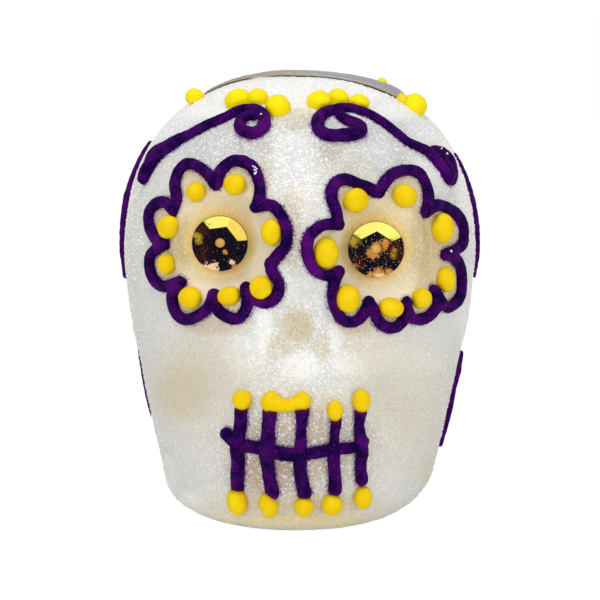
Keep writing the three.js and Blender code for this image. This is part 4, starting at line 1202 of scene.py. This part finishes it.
# Painted reflection of each facet, how gold and how lemon, from the right round over the top
LEFT_FACET_REFLECTIONS = [(0.95, 0.15), (1.0, 0.8), DARK_REFLECTION, DARK_REFLECTION, DARK_REFLECTION, DARK_REFLECTION]
RIGHT_FACET_REFLECTIONS = [(1.0, 1.0), (0.95, 1.0), DARK_REFLECTION, DARK_REFLECTION, DARK_REFLECTION, DARK_REFLECTION]
# Kind, place across and up, size and strength of each stain or painted gold patch
LEFT_MARKS = [
    ("pale", -0.30, -0.95, 0.28, 1.0), ("pale", -0.50, -0.86, 0.14, 1.0), ("tan", 0.18, -0.33, 0.09, 1.0),
    ("pale", 0.42, -0.69, 0.11, 1.0), ("tan", 0.52, -0.84, 0.12, 0.9), ("clean", -0.82, 0.26, 0.14, 1.3),
    ("clean", -0.76, 0.10, 0.15, 1.1), ("wine", -0.62, 0.48, 0.28, 1.0), ("wine", -0.62, -0.40, 0.3, 0.7),
]
RIGHT_MARKS = [
    ("tan", -0.10, -0.13, 0.22, 1.2), ("tan", 0.10, 0.02, 0.3, 0.7), ("tan", 0.32, 0.20, 0.18, 1.0),
    ("wine", 0.68, -0.05, 0.38, 1.2), ("clean", 0.60, -0.24, 0.12, 1.0), ("clean", 0.66, -0.06, 0.12, 0.9),
    ("wine", -0.70, -0.55, 0.30, 1.2), ("tan", -0.72, -0.60, 0.14, 0.6), ("tan", 0.10, -0.93, 0.26, 1.2),
    ("tan", 0.45, -0.84, 0.16, 1.1), ("tan", -0.22, -0.92, 0.14, 1.0), ("pale", 0.14, -1.06, 0.24, 1.0),
    ("clean", -0.78, 0.28, 0.24, 1.1),
]
for made in (sequin("left", LEFT_TURN, LEFT_FACET_REFLECTIONS, 0.12, LEFT_MARKS),
             sequin("right", RIGHT_TURN, RIGHT_FACET_REFLECTIONS, 1.0, RIGHT_MARKS)):
    made.data.materials.append(gold_film)
    keep(made, "gold_film", made.name.replace("cup", "eye"))
    print(made.name, len(made.data.polygons), "faces")

# %% [markdown]
# ## The sugar skin
#
# Now the halves themselves. The portrait shows where the sugar is loose and bright, where it is dense and
# warm, and where it is dull, as between the teeth. It also shows light and shade, and those are painted
# into the same spots: light on the crown, shade in the hollows and on the forehead, light and shade in the
# socket floors. Those places are read off it as a few soft spots. Every point of the fine grid learns
# which spots it lies in, whether it is inside a flower, and how near the icing is.

# %% Soft spots in picture points: across, down, half width, half height, strength
# Bright spots: loose sugar, and painted light on the crown and on the nose side of the socket floors.
BRIGHT_AND_LIT_SPOTS = [
    (300, 84, 150, 26, 1.0), (165, 120, 34, 26, 0.85), (445, 140, 34, 40, 0.75), (470, 170, 16, 60, 0.9),
    (292, 152, 18, 24, 0.5), (297, 182, 20, 22, 0.35), (200, 110, 36, 13, 1.0), (400, 108, 30, 12, 0.9),
    (122, 200, 12, 30, 0.3), (122, 320, 12, 26, 0.4), (470, 215, 16, 40, 0.45), (468, 300, 14, 40, 0.5),
    (264, 330, 9, 28, 0.9), (336, 338, 7, 18, 0.6), (300, 366, 22, 14, 0.95), (345, 362, 22, 12, 0.6),
    (246, 352, 22, 20, 0.55), (405, 362, 34, 14, 0.35), (282, 285, 12, 16, 0.4), (165, 482, 12, 24, 0.4),
    (188, 505, 16, 12, 0.5), (205, 150, 30, 16, 0.15), (372, 150, 24, 16, 0.25), (222, 297, 40, 16, 0.6),
    (385, 300, 55, 16, 0.6), (257, 248, 13, 32, 0.95), (347, 250, 12, 32, 1.0)
]
# Warm spots: dense, smooth sugar, and painted shade in the hollows of the nose, cheeks, brow and jaw.
WARM_AND_SHADE_SPOTS = [
    (297, 326, 15, 17, 1.3), (280, 346, 12, 14, 0.8), (322, 347, 8, 13, 0.7), (212, 325, 34, 12, 0.9),
    (186, 390, 32, 34, 0.95), (356, 325, 22, 14, 0.95), (372, 350, 26, 22, 0.5), (400, 402, 46, 60, 0.5),
    (205, 362, 44, 28, 0.6), (205, 395, 30, 40, 0.5), (290, 206, 16, 20, 0.6), (291, 236, 10, 32, 0.7),
    (300, 120, 22, 12, 0.45), (340, 152, 15, 22, 0.4), (352, 172, 26, 16, 0.5), (262, 190, 9, 26, 0.6),
    (432, 472, 14, 26, 0.6), (300, 512, 110, 16, 0.6), (262, 118, 14, 12, 0.6)
]
# Dull spots: dull sugar, as between the teeth, and painted shade in the cheek and nose hollows and on the
# outer side of the socket floors.
DULL_AND_SHADE_SPOTS = [
    (300, 448, 64, 44, 0.75), (291, 232, 10, 34, 0.4), (246, 142, 12, 10, 0.3), (300, 505, 70, 14, 0.35),
    (178, 392, 24, 26, 0.2), (297, 326, 13, 14, 0.2), (358, 325, 16, 10, 0.4), (208, 326, 24, 8, 0.35),
    (300, 120, 22, 12, 0.2), (330, 148, 12, 16, 0.3), (264, 168, 8, 30, 0.3), (270, 466, 40, 30, 0.95),
    (185, 242, 14, 24, 1.0), (423, 246, 16, 32, 0.85)
]
SHADE_SPOTS = [
    (215, 142, 44, 26, 0.95), (262, 132, 16, 24, 1.0), (378, 146, 44, 28, 0.95),
    (330, 140, 18, 30, 0.95), (292, 148, 24, 30, 0.55), (355, 168, 18, 12, 0.9)
]
# Spots of yellow tint on the chin and above the teeth.
YELLOW_TINT_SPOTS = [(300, 521, 80, 9, 0.7), (232, 517, 20, 8, 0.6), (300, 400, 62, 12, 0.5)]
LOOSE_SPOTS = [
    (300, 90, 150, 30, 0.5), (297, 160, 34, 50, 1.0), (291, 230, 16, 50, 1.0), (300, 345, 56, 40, 0.9),
    (300, 440, 76, 60, 0.7), (130, 200, 20, 80, 0.6), (460, 200, 20, 80, 0.6), (205, 145, 60, 24, 0.6),
    (380, 150, 60, 24, 0.6)
]
print(len(BRIGHT_AND_LIT_SPOTS + WARM_AND_SHADE_SPOTS + DULL_AND_SHADE_SPOTS + SHADE_SPOTS + YELLOW_TINT_SPOTS + LOOSE_SPOTS), "soft spots")

# %% Reading spots and flowers


def spot_share(u, v, spots):
    """The strongest of some soft spots: full within half their size, none beyond one and a half."""
    share = np.zeros(len(u))
    for across, down, wide, tall, strength in spots:
        t = np.clip(1.5 - np.hypot((u - across) / wide, (v - down) / tall), 0, 1)
        share = np.maximum(share, strength * t * t * (3 - 2 * t))
    return share


def inside(u, v, line):
    """Which picture points a closed line goes round."""
    within = np.zeros(len(u), bool)
    for (a, b), (c, d) in zip(line, line[1:] + line[:1]):
        if b != d:
            within ^= ((b > v) != (d > v)) & (u < a + (v - b) * (c - a) / (d - b))
    return within


foil_low, foil_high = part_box("crown_foil")
foil_middle, foil_half = (foil_low + foil_high) / 2, (foil_high - foil_low) / 2
CROWN_SHARE = 0.8
print("the foil is", round(2 * foil_half.x / MM, 1), "mm wide")

# %% Attributes of the skin
RIM_FADE, BASE_FADE, FACE_FADE = 0.6 * MM, 0.8 * MM, 6 * MM
CLEAR_BASE, CLEAR_FADE = 0.6 * MM, 0.6 * MM
FLOWER_FRONT = -15 * MM
GLOW_RADIUS, GLOW_FADE = 4.6 * MM, 1.5 * MM
VIOLET_REACH, YELLOW_REACH = 0.8 * MM, 0.9 * MM


def mark_flowers(own, u, v):
    """Whether each point lies inside a flower, and how near a sequin it is."""
    flower, gold = np.zeros(len(u), bool), np.zeros(len(u))
    for middle, petals in zip(sockets, (LEFT_FLOWER, RIGHT_FLOWER)):
        outline = [point for petal in petals for point in petal[:-1]]
        flower |= inside(u, v, outline) & (own[:, 1] < FLOWER_FRONT)
        apart = np.hypot(own[:, 0] - middle.x, own[:, 2] - middle.z)
        gold = np.maximum(gold, np.clip(1.6 - (apart - GLOW_RADIUS) / GLOW_FADE, 0, 1))
    return flower, gold


def mark_skin(piece):
    points = places(piece)
    own = points - np.array(axis)
    u, v = picture_points(points)
    facing = np.clip(-own[:, 1] / FACE_FADE, 0, 1)
    high = np.clip(own[:, 2] / SKULL_HEIGHT * 6 - 5, 0, 1)
    rim = np.clip((abs(own[:, 1]) - JOINT_HALF) / RIM_FADE, 0, 1)
    outside = rim * np.clip(own[:, 2] / BASE_FADE, 0, 1)
    flower, gold = mark_flowers(own, u, v)
    rough = 0.2 + 0.8 * (spot_share(u, v, LOOSE_SPOTS) * facing + 0.3 * (1 - facing))
    rough = rough * (1 - 0.8 * flower)
    off_foil = np.abs(points - np.array(foil_middle)) > np.array(foil_half)
    open_top = off_foil[:, 0] | off_foil[:, 1] | (own[:, 2] <= CROWN_SHARE * SKULL_HEIGHT)
    clear = np.clip((own[:, 2] - CLEAR_BASE) / CLEAR_FADE, 0, 1) * open_top
    violet, yellow = nearness(violet_tree, points, VIOLET_REACH), nearness(yellow_tree, points, YELLOW_REACH)
    stored = {
        # Inside the flowers: painted shade and glow of the sockets, and a painted glow of the gold near the
        # sequins.
        "outside": outside, "rough": rough, "socket_glow": flower, "gold_glow": gold * facing,
        # Painted light: bright spots also light the crown and the nose side of the socket floors, and off
        # the face the top is painted lighter.
        "bright": spot_share(u, v, BRIGHT_AND_LIT_SPOTS) * facing + (0.35 + 0.5 * high) * (1 - facing),
        # Painted shade: warm spots also shade the hollows.
        "warm": spot_share(u, v, WARM_AND_SHADE_SPOTS) * facing + 0.2 * (1 - facing),
        # Painted shade: dull spots also shade hollows and the outer socket floors; shade spots paint shade
        # on the forehead.
        "dull": spot_share(u, v, DULL_AND_SHADE_SPOTS) * facing, "shade": spot_share(u, v, SHADE_SPOTS) * facing,
        # The yellow tint: near the dots, and at a few spots on the chin and above the teeth.
        "violet_creep": violet, "yellow_creep": np.maximum(yellow, spot_share(u, v, YELLOW_TINT_SPOTS) * facing),
        "loose_grain": outside * clear * (0.88 * rough + 0.5 * violet) * (1 - 0.9 * flower)}
    for name, values in stored.items():
        store(piece, name, values)


skins = {}
for name, front, columns, rows in (("face_sugar", True, 300, 250), ("back_sugar", False, 260, 230)):
    points, faces = closed_half(front, columns, rows)
    skins[name] = smooth(add_mesh(name, points, faces))
    mark_skin(skins[name])
    print(name, len(faces), "faces")

# %% [markdown]
# ## Grain and loose crystals
#
# Two trees work on the skin. The first moves it by a cell pattern of half a millimetre, the size of a
# grain. The second scatters small crystals, plain blocks with random turns, that catch the light one by
# one. They read the same attributes, so a crystal beside a violet bead is stained like its neighbours.

# %% Geometry Nodes: granulated skin


def grain_tree():
    bench, given, sink = geometry_tree("granulated_skin", {
        "Depth": "Float", "Waves": "Float", "Material": "Material"})
    place = in_millimetres(bench)
    cells = bench.add("ShaderNodeTexVoronoi", {"feature": "SMOOTH_F1"}, {
        "Vector": place, "Scale": 1.6, "Smoothness": 0.6})
    rise = (0.35 - cells) * given["Depth"] + (bench.noise(place, 0.16, 3.0) - 0.5) * given["Waves"]
    grainy = pushed_out(bench, given["Geometry"], rise * named(bench, "outside"))
    return finish_tree(bench, sink, grainy, given["Material"])


def crystal_tree():
    bench, given, sink = geometry_tree("loose_crystals", {
        "Per Square Metre": "Float", "Size": "Float", "Seed": "Int", "Material": "Material"})
    density = named(bench, "loose_grain") * given["Per Square Metre"]
    scattered = bench.add("GeometryNodeDistributePointsOnFaces", None, {
        "Mesh": given["Geometry"], "Density": density, "Seed": given["Seed"]})
    grain = bench.add("GeometryNodeMeshCube", None, {"Size": (1.0, 0.8, 0.65)})
    spin = bench.add("FunctionNodeRandomValue", {"data_type": "FLOAT_VECTOR"}, {
        0: (0, 0, 0), 1: (2 * math.pi,) * 3, "Seed": given["Seed"]})
    size = bench.add("FunctionNodeRandomValue", None, {2: 0.55, 3: 1.25, "Seed": given["Seed"]}, output=1)
    grains = bench.add("GeometryNodeInstanceOnPoints", None, {
        "Points": scattered, "Instance": grain, "Scale": size * given["Size"],
        "Rotation": bench.add("FunctionNodeEulerToRotation", None, [spin])})
    return finish_tree(bench, sink, grains, given["Material"])


grain_nodes, crystal_nodes = grain_tree(), crystal_tree()
print("grain and crystal trees ready")

# %% Crystal material


def crystal_look(bench):
    place = object_place(bench)
    _, tone = grain_cells(bench, place, 1.2)
    rough = attribute(bench, "rough")
    pale = (0.12 + tone * 0.5) * (1 - attribute(bench, "warm") * 0.75)
    color = bench.mixed(pale, sugar_tone(bench, place, rough), (0.98, 0.98, 0.98))
    color = stained(bench, color, tone, rough)
    return {"Base Color": color, "Roughness": 0.08 + tone.out("Green") * 0.3}


crystal = material("sugar_crystals", crystal_look, IOR=1.55)
print("crystal material has", len(crystal.node_tree.nodes), "nodes")

# %% Both trees on both halves
GRAIN_DEPTH, SKIN_WAVES = 0.22 * MM, 0.35 * MM
CRYSTAL_DENSITY = 1.9e6
# Seed and size of the larger and the smaller crystals
CRYSTALS = {1: (7, 0.29 * MM), 2: (8, 0.21 * MM)}

for half in ("face", "back"):
    grainy = {"Depth": GRAIN_DEPTH, "Waves": SKIN_WAVES, "Material": sugar}
    skin = run_tree(skins[f"{half}_sugar"], grain_nodes, grainy)
    for number, (seed, size) in CRYSTALS.items():
        loose = bpy.data.objects.new(f"{half}_crystals_{number}", skin.data.copy())
        bpy.context.scene.collection.objects.link(loose)
        run_tree(loose, crystal_nodes, {
            "Per Square Metre": CRYSTAL_DENSITY, "Size": size, "Seed": seed, "Material": crystal})
        keep(loose, "sugar")
        print(loose.name, len(loose.data.polygons), "faces")
    keep(skin, "sugar", f"{half}_half")

# %% [markdown]
# ## Crumbs on the icing
#
# A few grains fell on the wet icing and stuck. They are too few to scatter by a rule, so they are placed
# one by one, each a small block with its own turn, standing on top of a bead.

# %% Crumbs
CRUMBS = [
    (254.5, 169), (256.5, 170), (258, 171.5), (256, 172.5), (257.5, 174.5), (256.5, 176), (432.5, 189.5),
    (446, 251), (442.5, 156.5), (437, 151.5), (300.5, 448), (340, 224), (262, 119)
]
CRUMB_SIZE, CRUMB_RISE = 0.22 * MM, 1.1 * MM
BLOCK = np.array([(x, y, z) for x in (-0.5, 0.5) for y in (-0.5, 0.5) for z in (-0.5, 0.5)])
BLOCK_SIDES = [(0, 1, 3, 2), (4, 6, 7, 5), (0, 4, 5, 1), (2, 3, 7, 6), (0, 2, 6, 4), (1, 5, 7, 3)]


def crumb_piece(crumbs):
    rng = np.random.default_rng(4)
    points, faces = [], []
    for u, v in crumbs:
        place, normal = carried(u, v, BEAD_RISE)
        block = BLOCK * rng.uniform(0.7, 1.3, 3)
        turned = block @ np.array(Matrix.Rotation(rng.uniform(0, 3), 3, rng.normal(size=3)))
        first = len(points)
        points.extend(np.array(place + normal * CRUMB_RISE) + turned * CRUMB_SIZE * rng.uniform(0.8, 1.5))
        faces.extend([first + corner for corner in side] for side in BLOCK_SIDES)
    made = add_mesh("icing_crumbs", points, faces)
    made.data.materials.append(crystal)
    return made


keep(crumb_piece(CRUMBS), "sugar")
print(len(CRUMBS), "crumbs")

# %% [markdown]
# ## The joint
#
# The halves are stuck together with a thin line of white icing, squeezed out a little all round. It is one
# more bead, whose path needs no drawing: the outline of the form is its path. Under the foil it was
# pressed flat, so there it lies deeper.

# %% Seam
SEAM_RADIUS, SEAM_SINK, SEAM_SINK_UNDER_FOIL = 0.5 * MM, 0.35 * MM, 0.75 * MM
SEAM_FOOT, SEAM_CORNER_STEPS, SEAM_STEPS = 0.6 * MM, 8, 90


def seam_points():
    corner = np.linspace(SEAM_FOOT, BASE_CORNER, SEAM_CORNER_STEPS)[:-1]
    rest = np.sin(np.linspace(0, np.pi / 2, SEAM_STEPS))
    heights = np.concatenate([corner, BASE_CORNER + (SKULL_HEIGHT - BASE_CORNER) * rest])
    right, left = ([Vector((way * r, 0, h)) for r, h in zip(sugar_distance(way, TINY, heights), heights)]
                   for way in (1, -1))
    middle = Vector((0, 0, SKULL_HEIGHT / 2))
    points = []
    for p in right + left[-2::-1]:
        covered = abs(p.x) < foil_half.x and p.z > CROWN_SHARE * SKULL_HEIGHT
        sink = SEAM_SINK_UNDER_FOIL if covered else SEAM_SINK
        points.append(axis + p + (middle - p).normalized() * sink)
    return points


ring = seam_points()
seam = add_mesh("joint_icing", ring, [], [(i, i + 1) for i in range(len(ring) - 1)])
store(seam, "bead_radius", [SEAM_RADIUS] * len(ring))
run_tree(seam, bead_nodes, {
    "Step": 0.5 * MM, "Unevenness": 0.5, "Lumps": 0.2 * MM, "Seed": 2, "Material": white_icing})
keep(smooth(seam), "white_icing", "seam_icing")
print("seam", len(seam.data.polygons), "faces")

# %% [markdown]
# ## The foil and the dabs
#
# The foil is thin metal that was pressed over the crown: it lies close to the sugar, with small creases
# from the fingers. Its front edge is drawn in the portrait, so the sheet starts as a grid from that edge
# backwards, dropped on the crown, with its rim turned down. A tree adds the creases.

# %% Foil mesh
FOIL_COLUMNS, FOIL_ROWS, ROW_CROWDING, FOIL_BACK_SHARE = 150, 60, 1.6, 0.98
FOIL_FRONT = [
    (203, 93), (216, 87), (232, 82), (250, 77.5), (270, 75.9), (290, 76.2), (310, 77.4), (337, 81.1),
    (363, 86), (380, 90), (395, 95.5), (405, 100.5)
]
# Place across and how far the foil stands off the sugar there, in millimetres
FOIL_RISES = [
    (-18.5, 0.3), (-12.7, 0.4), (-7.8, 0.55), (-3, 0.7), (2, 0.6), (7, 0.5), (12, 0.6), (16.6, 0.9),
    (20, 0.9)
]
HEM_WIDTH, END_WIDTH, CLEARANCE, EDGE_RISE = 1.2 * MM, 1.5 * MM, 0.15 * MM, 0.2 * MM
LIP_WIDTH, DROP_HEIGHT = 3 * MM, 200 * MM


def eased(share):
    """A quarter round: steep at 0, flat at 1."""
    return math.sqrt(1 - (1 - min(1, max(0, share))) ** 2)


def foil_edge():
    """The drawn front edge on the crown. Rays graze the sugar there, so a parabola evens its depth."""
    drawn = np.array(soft_line(FOIL_FRONT, 0.5))
    drawn = drawn[np.linspace(0, len(drawn) - 1, FOIL_COLUMNS + 1).astype(int)]
    across, deep = np.array([carried(u, v, EDGE_RISE)[0] for u, v in drawn])[:, :2].T
    return across, np.polyval(np.polyfit(across, deep, 2), across)


def foil_sheet():
    across, front = foil_edge()
    tree, (at, rises) = swollen(0), np.array(FOIL_RISES).T * MM
    points, lip = [], []
    for x, start, tall in zip(across, front, np.interp(across, at, rises)):
        from_end = min(x - across[0], across[-1] - x)
        for k in range(FOIL_ROWS + 1):
            deep = foil_high.y - start
            back = deep * FOIL_BACK_SHARE * (k / FOIL_ROWS) ** ROW_CROWDING
            place, normal, _, _ = tree.ray_cast(Vector((x, start + back, DROP_HEIGHT)), Vector((0, 0, -1)))
            outward = normal if normal.z > 0 else -normal
            hem = eased(back / HEM_WIDTH) * eased(from_end / END_WIDTH) * eased((deep - back) / END_WIDTH)
            points.append(place + outward * (CLEARANCE + float(tall) * hem))
            lip.append(1 - min(1, back / LIP_WIDTH))
    index = np.arange(len(points)).reshape(FOIL_COLUMNS + 1, FOIL_ROWS + 1)
    made = add_mesh("crown_foil_sheet", points, grid_quads(index)[:, [0, 3, 2, 1]].tolist())
    store(made, "lip", lip)
    return made


print("foil grid of", FOIL_COLUMNS, "by", FOIL_ROWS)

# %% Creases, foil material and dabs
CREASE_DEPTH, FOIL_THICKNESS = 0.3 * MM, 0.08 * MM


def crease_tree():
    bench, given, sink = geometry_tree("foil_creases", {"Depth": "Float", "Material": "Material"})
    folds = bench.add("ShaderNodeTexVoronoi", {"feature": "DISTANCE_TO_EDGE"}, {
        "Vector": in_millimetres(bench), "Scale": 0.28})
    creased = pushed_out(bench, given["Geometry"], folds.maths("MINIMUM", 0.3) * given["Depth"])
    return finish_tree(bench, sink, creased, given["Material"])


def foil_look(bench):
    place = object_place(bench)
    across = bench.add("ShaderNodeSeparateXYZ", None, [place]) + (bench.noise(place, 0.3, 3.0) - 0.5) * 12
    # Painted reflection: the foil is painted warm grey to the left and bluish to the right, less so along
    # its front lip.
    bluish = across.between(-3, 6) * (1 - attribute(bench, "lip").between(0.35, 0.95) * 0.8)
    color = bench.mixed(bluish, (0.34, 0.30, 0.235), (0.25, 0.285, 0.36))
    fine = bench.noise(place, 1.2, 4.0)
    return {"Base Color": color, "Roughness": 0.45 + fine * 0.2, "Normal": bench.bumped(fine, 0.3, 0.1 * MM)}


def dab_look(bench):
    color = bench.mixed(bench.noise(object_place(bench), 2.0), (0.95, 0.46, 0.05), (0.95, 0.57, 0.13))
    return {**white_look(bench), "Base Color": color}


silver_foil = material("silver_foil", foil_look, Metallic=0.4)
foil = foil_sheet()
run_tree(foil, crease_tree(), {"Depth": CREASE_DEPTH, "Material": silver_foil}, [
    ("SOLIDIFY", {"thickness": FOIL_THICKNESS, "offset": 1.0})])
keep(smooth(foil), "silver_foil", "crown_foil")

dab_under_gold = material("dab_under_gold", dab_look)
for side in ("left", "right"):
    nodes[f"{side}_sequin_icing"].material_slots[0].material = dab_under_gold
print("foil", len(foil.data.polygons), "faces,", round((foil_high.y - foil_low.y) / MM, 1), "mm deep")

# %% [markdown]
# ## Floor, background and light
#
# The portrait stands on plain white. The floor takes the skull's shadow, and is white enough to vanish.
# The light comes from a broad lamp above and a little in front, so the crown is bright and the jaw falls
# off, and a wide lamp in front fills the sockets without mirroring in the gold.

# %% Stage
FLOOR_HALF = 3.0


def seen_directly(bench):
    """1 for rays from the camera and for rays that metal or glass sends on."""
    rays = bench.add("ShaderNodeLightPath")
    seen = rays.out("Is Camera Ray") + rays.out("Is Glossy Ray")
    return seen.maths("MAXIMUM", rays.out("Is Transmission Ray")).maths("MINIMUM", 1)


def white_ground():
    made = bpy.data.materials.new("white_ground")
    made.use_nodes = True
    bench = Bench(made.node_tree)
    made.node_tree.nodes.remove(made.node_tree.nodes["Principled BSDF"])
    lit = bench.add("ShaderNodeBsdfDiffuse", None, {"Color": (0.93, 0.93, 0.93, 1)})
    white = bench.add("ShaderNodeEmission", None, {"Color": (1, 1, 1, 1), "Strength": 1.12})
    mixed = bench.add("ShaderNodeMixShader", None, {0: seen_directly(bench) * 0.85, 1: lit, 2: white})
    made.node_tree.links.new(mixed.socket, made.node_tree.nodes["Material Output"].inputs["Surface"])
    return made


corners = [(-FLOOR_HALF, -FLOOR_HALF, 0), (FLOOR_HALF, -FLOOR_HALF, 0),
           (FLOOR_HALF, FLOOR_HALF, 0), (-FLOOR_HALF, FLOOR_HALF, 0)]
floor = add_mesh("floor", corners, [[0, 1, 2, 3]])
floor.data.materials.append(white_ground())
floor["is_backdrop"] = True

world = bpy.data.worlds.new("white_world")
bpy.context.scene.world = world
world.use_nodes = True
background = world.node_tree.nodes["Background"]
background.inputs["Color"].default_value = (1, 1, 1, 1)
strength = seen_directly(Bench(world.node_tree)) * 0.6 + 0.4
world.node_tree.links.new(strength.socket, background.inputs["Strength"])
print("floor and world are white")

# %% Lamps
LAMP_AIM = Vector((0, 0, 0.04))


def lamp(name, place, size, power):
    light = bpy.data.lights.new(name, "AREA")
    light.shape, light.size, light.energy = "DISK", size, power
    made = bpy.data.objects.new(name, light)
    bpy.context.scene.collection.objects.link(made)
    made.location = place
    made.rotation_mode = "QUATERNION"
    made.rotation_quaternion = (LAMP_AIM - made.location).to_track_quat("-Z", "Y")
    return made


lamp("overhead", (-0.10, -0.10, 0.75), 0.40, 1.8)
lamp("front_left", (-0.45, -0.65, 0.35), 0.35, 1.0)
lamp("front_right", (0.55, -0.50, 0.30), 0.35, 0.9)
lamp("front", (0.03, -0.80, 0.20), 0.45, 1.6).visible_glossy = False
bpy.context.scene.view_settings.view_transform = "Standard"
print("four lamps aim at", tuple(LAMP_AIM))

# %% [markdown]
# ## Last step
#
# Each piece rides on the skull's one body, and the imported nodes that it stands for are hidden.

# %% Rides and sizes
for piece, slot, replaced in pieces:
    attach(piece, "root")
    if replaced:
        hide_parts(*replaced)

low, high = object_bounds()
print("visual box in mm:", [round(v / MM, 1) for v in high - low])
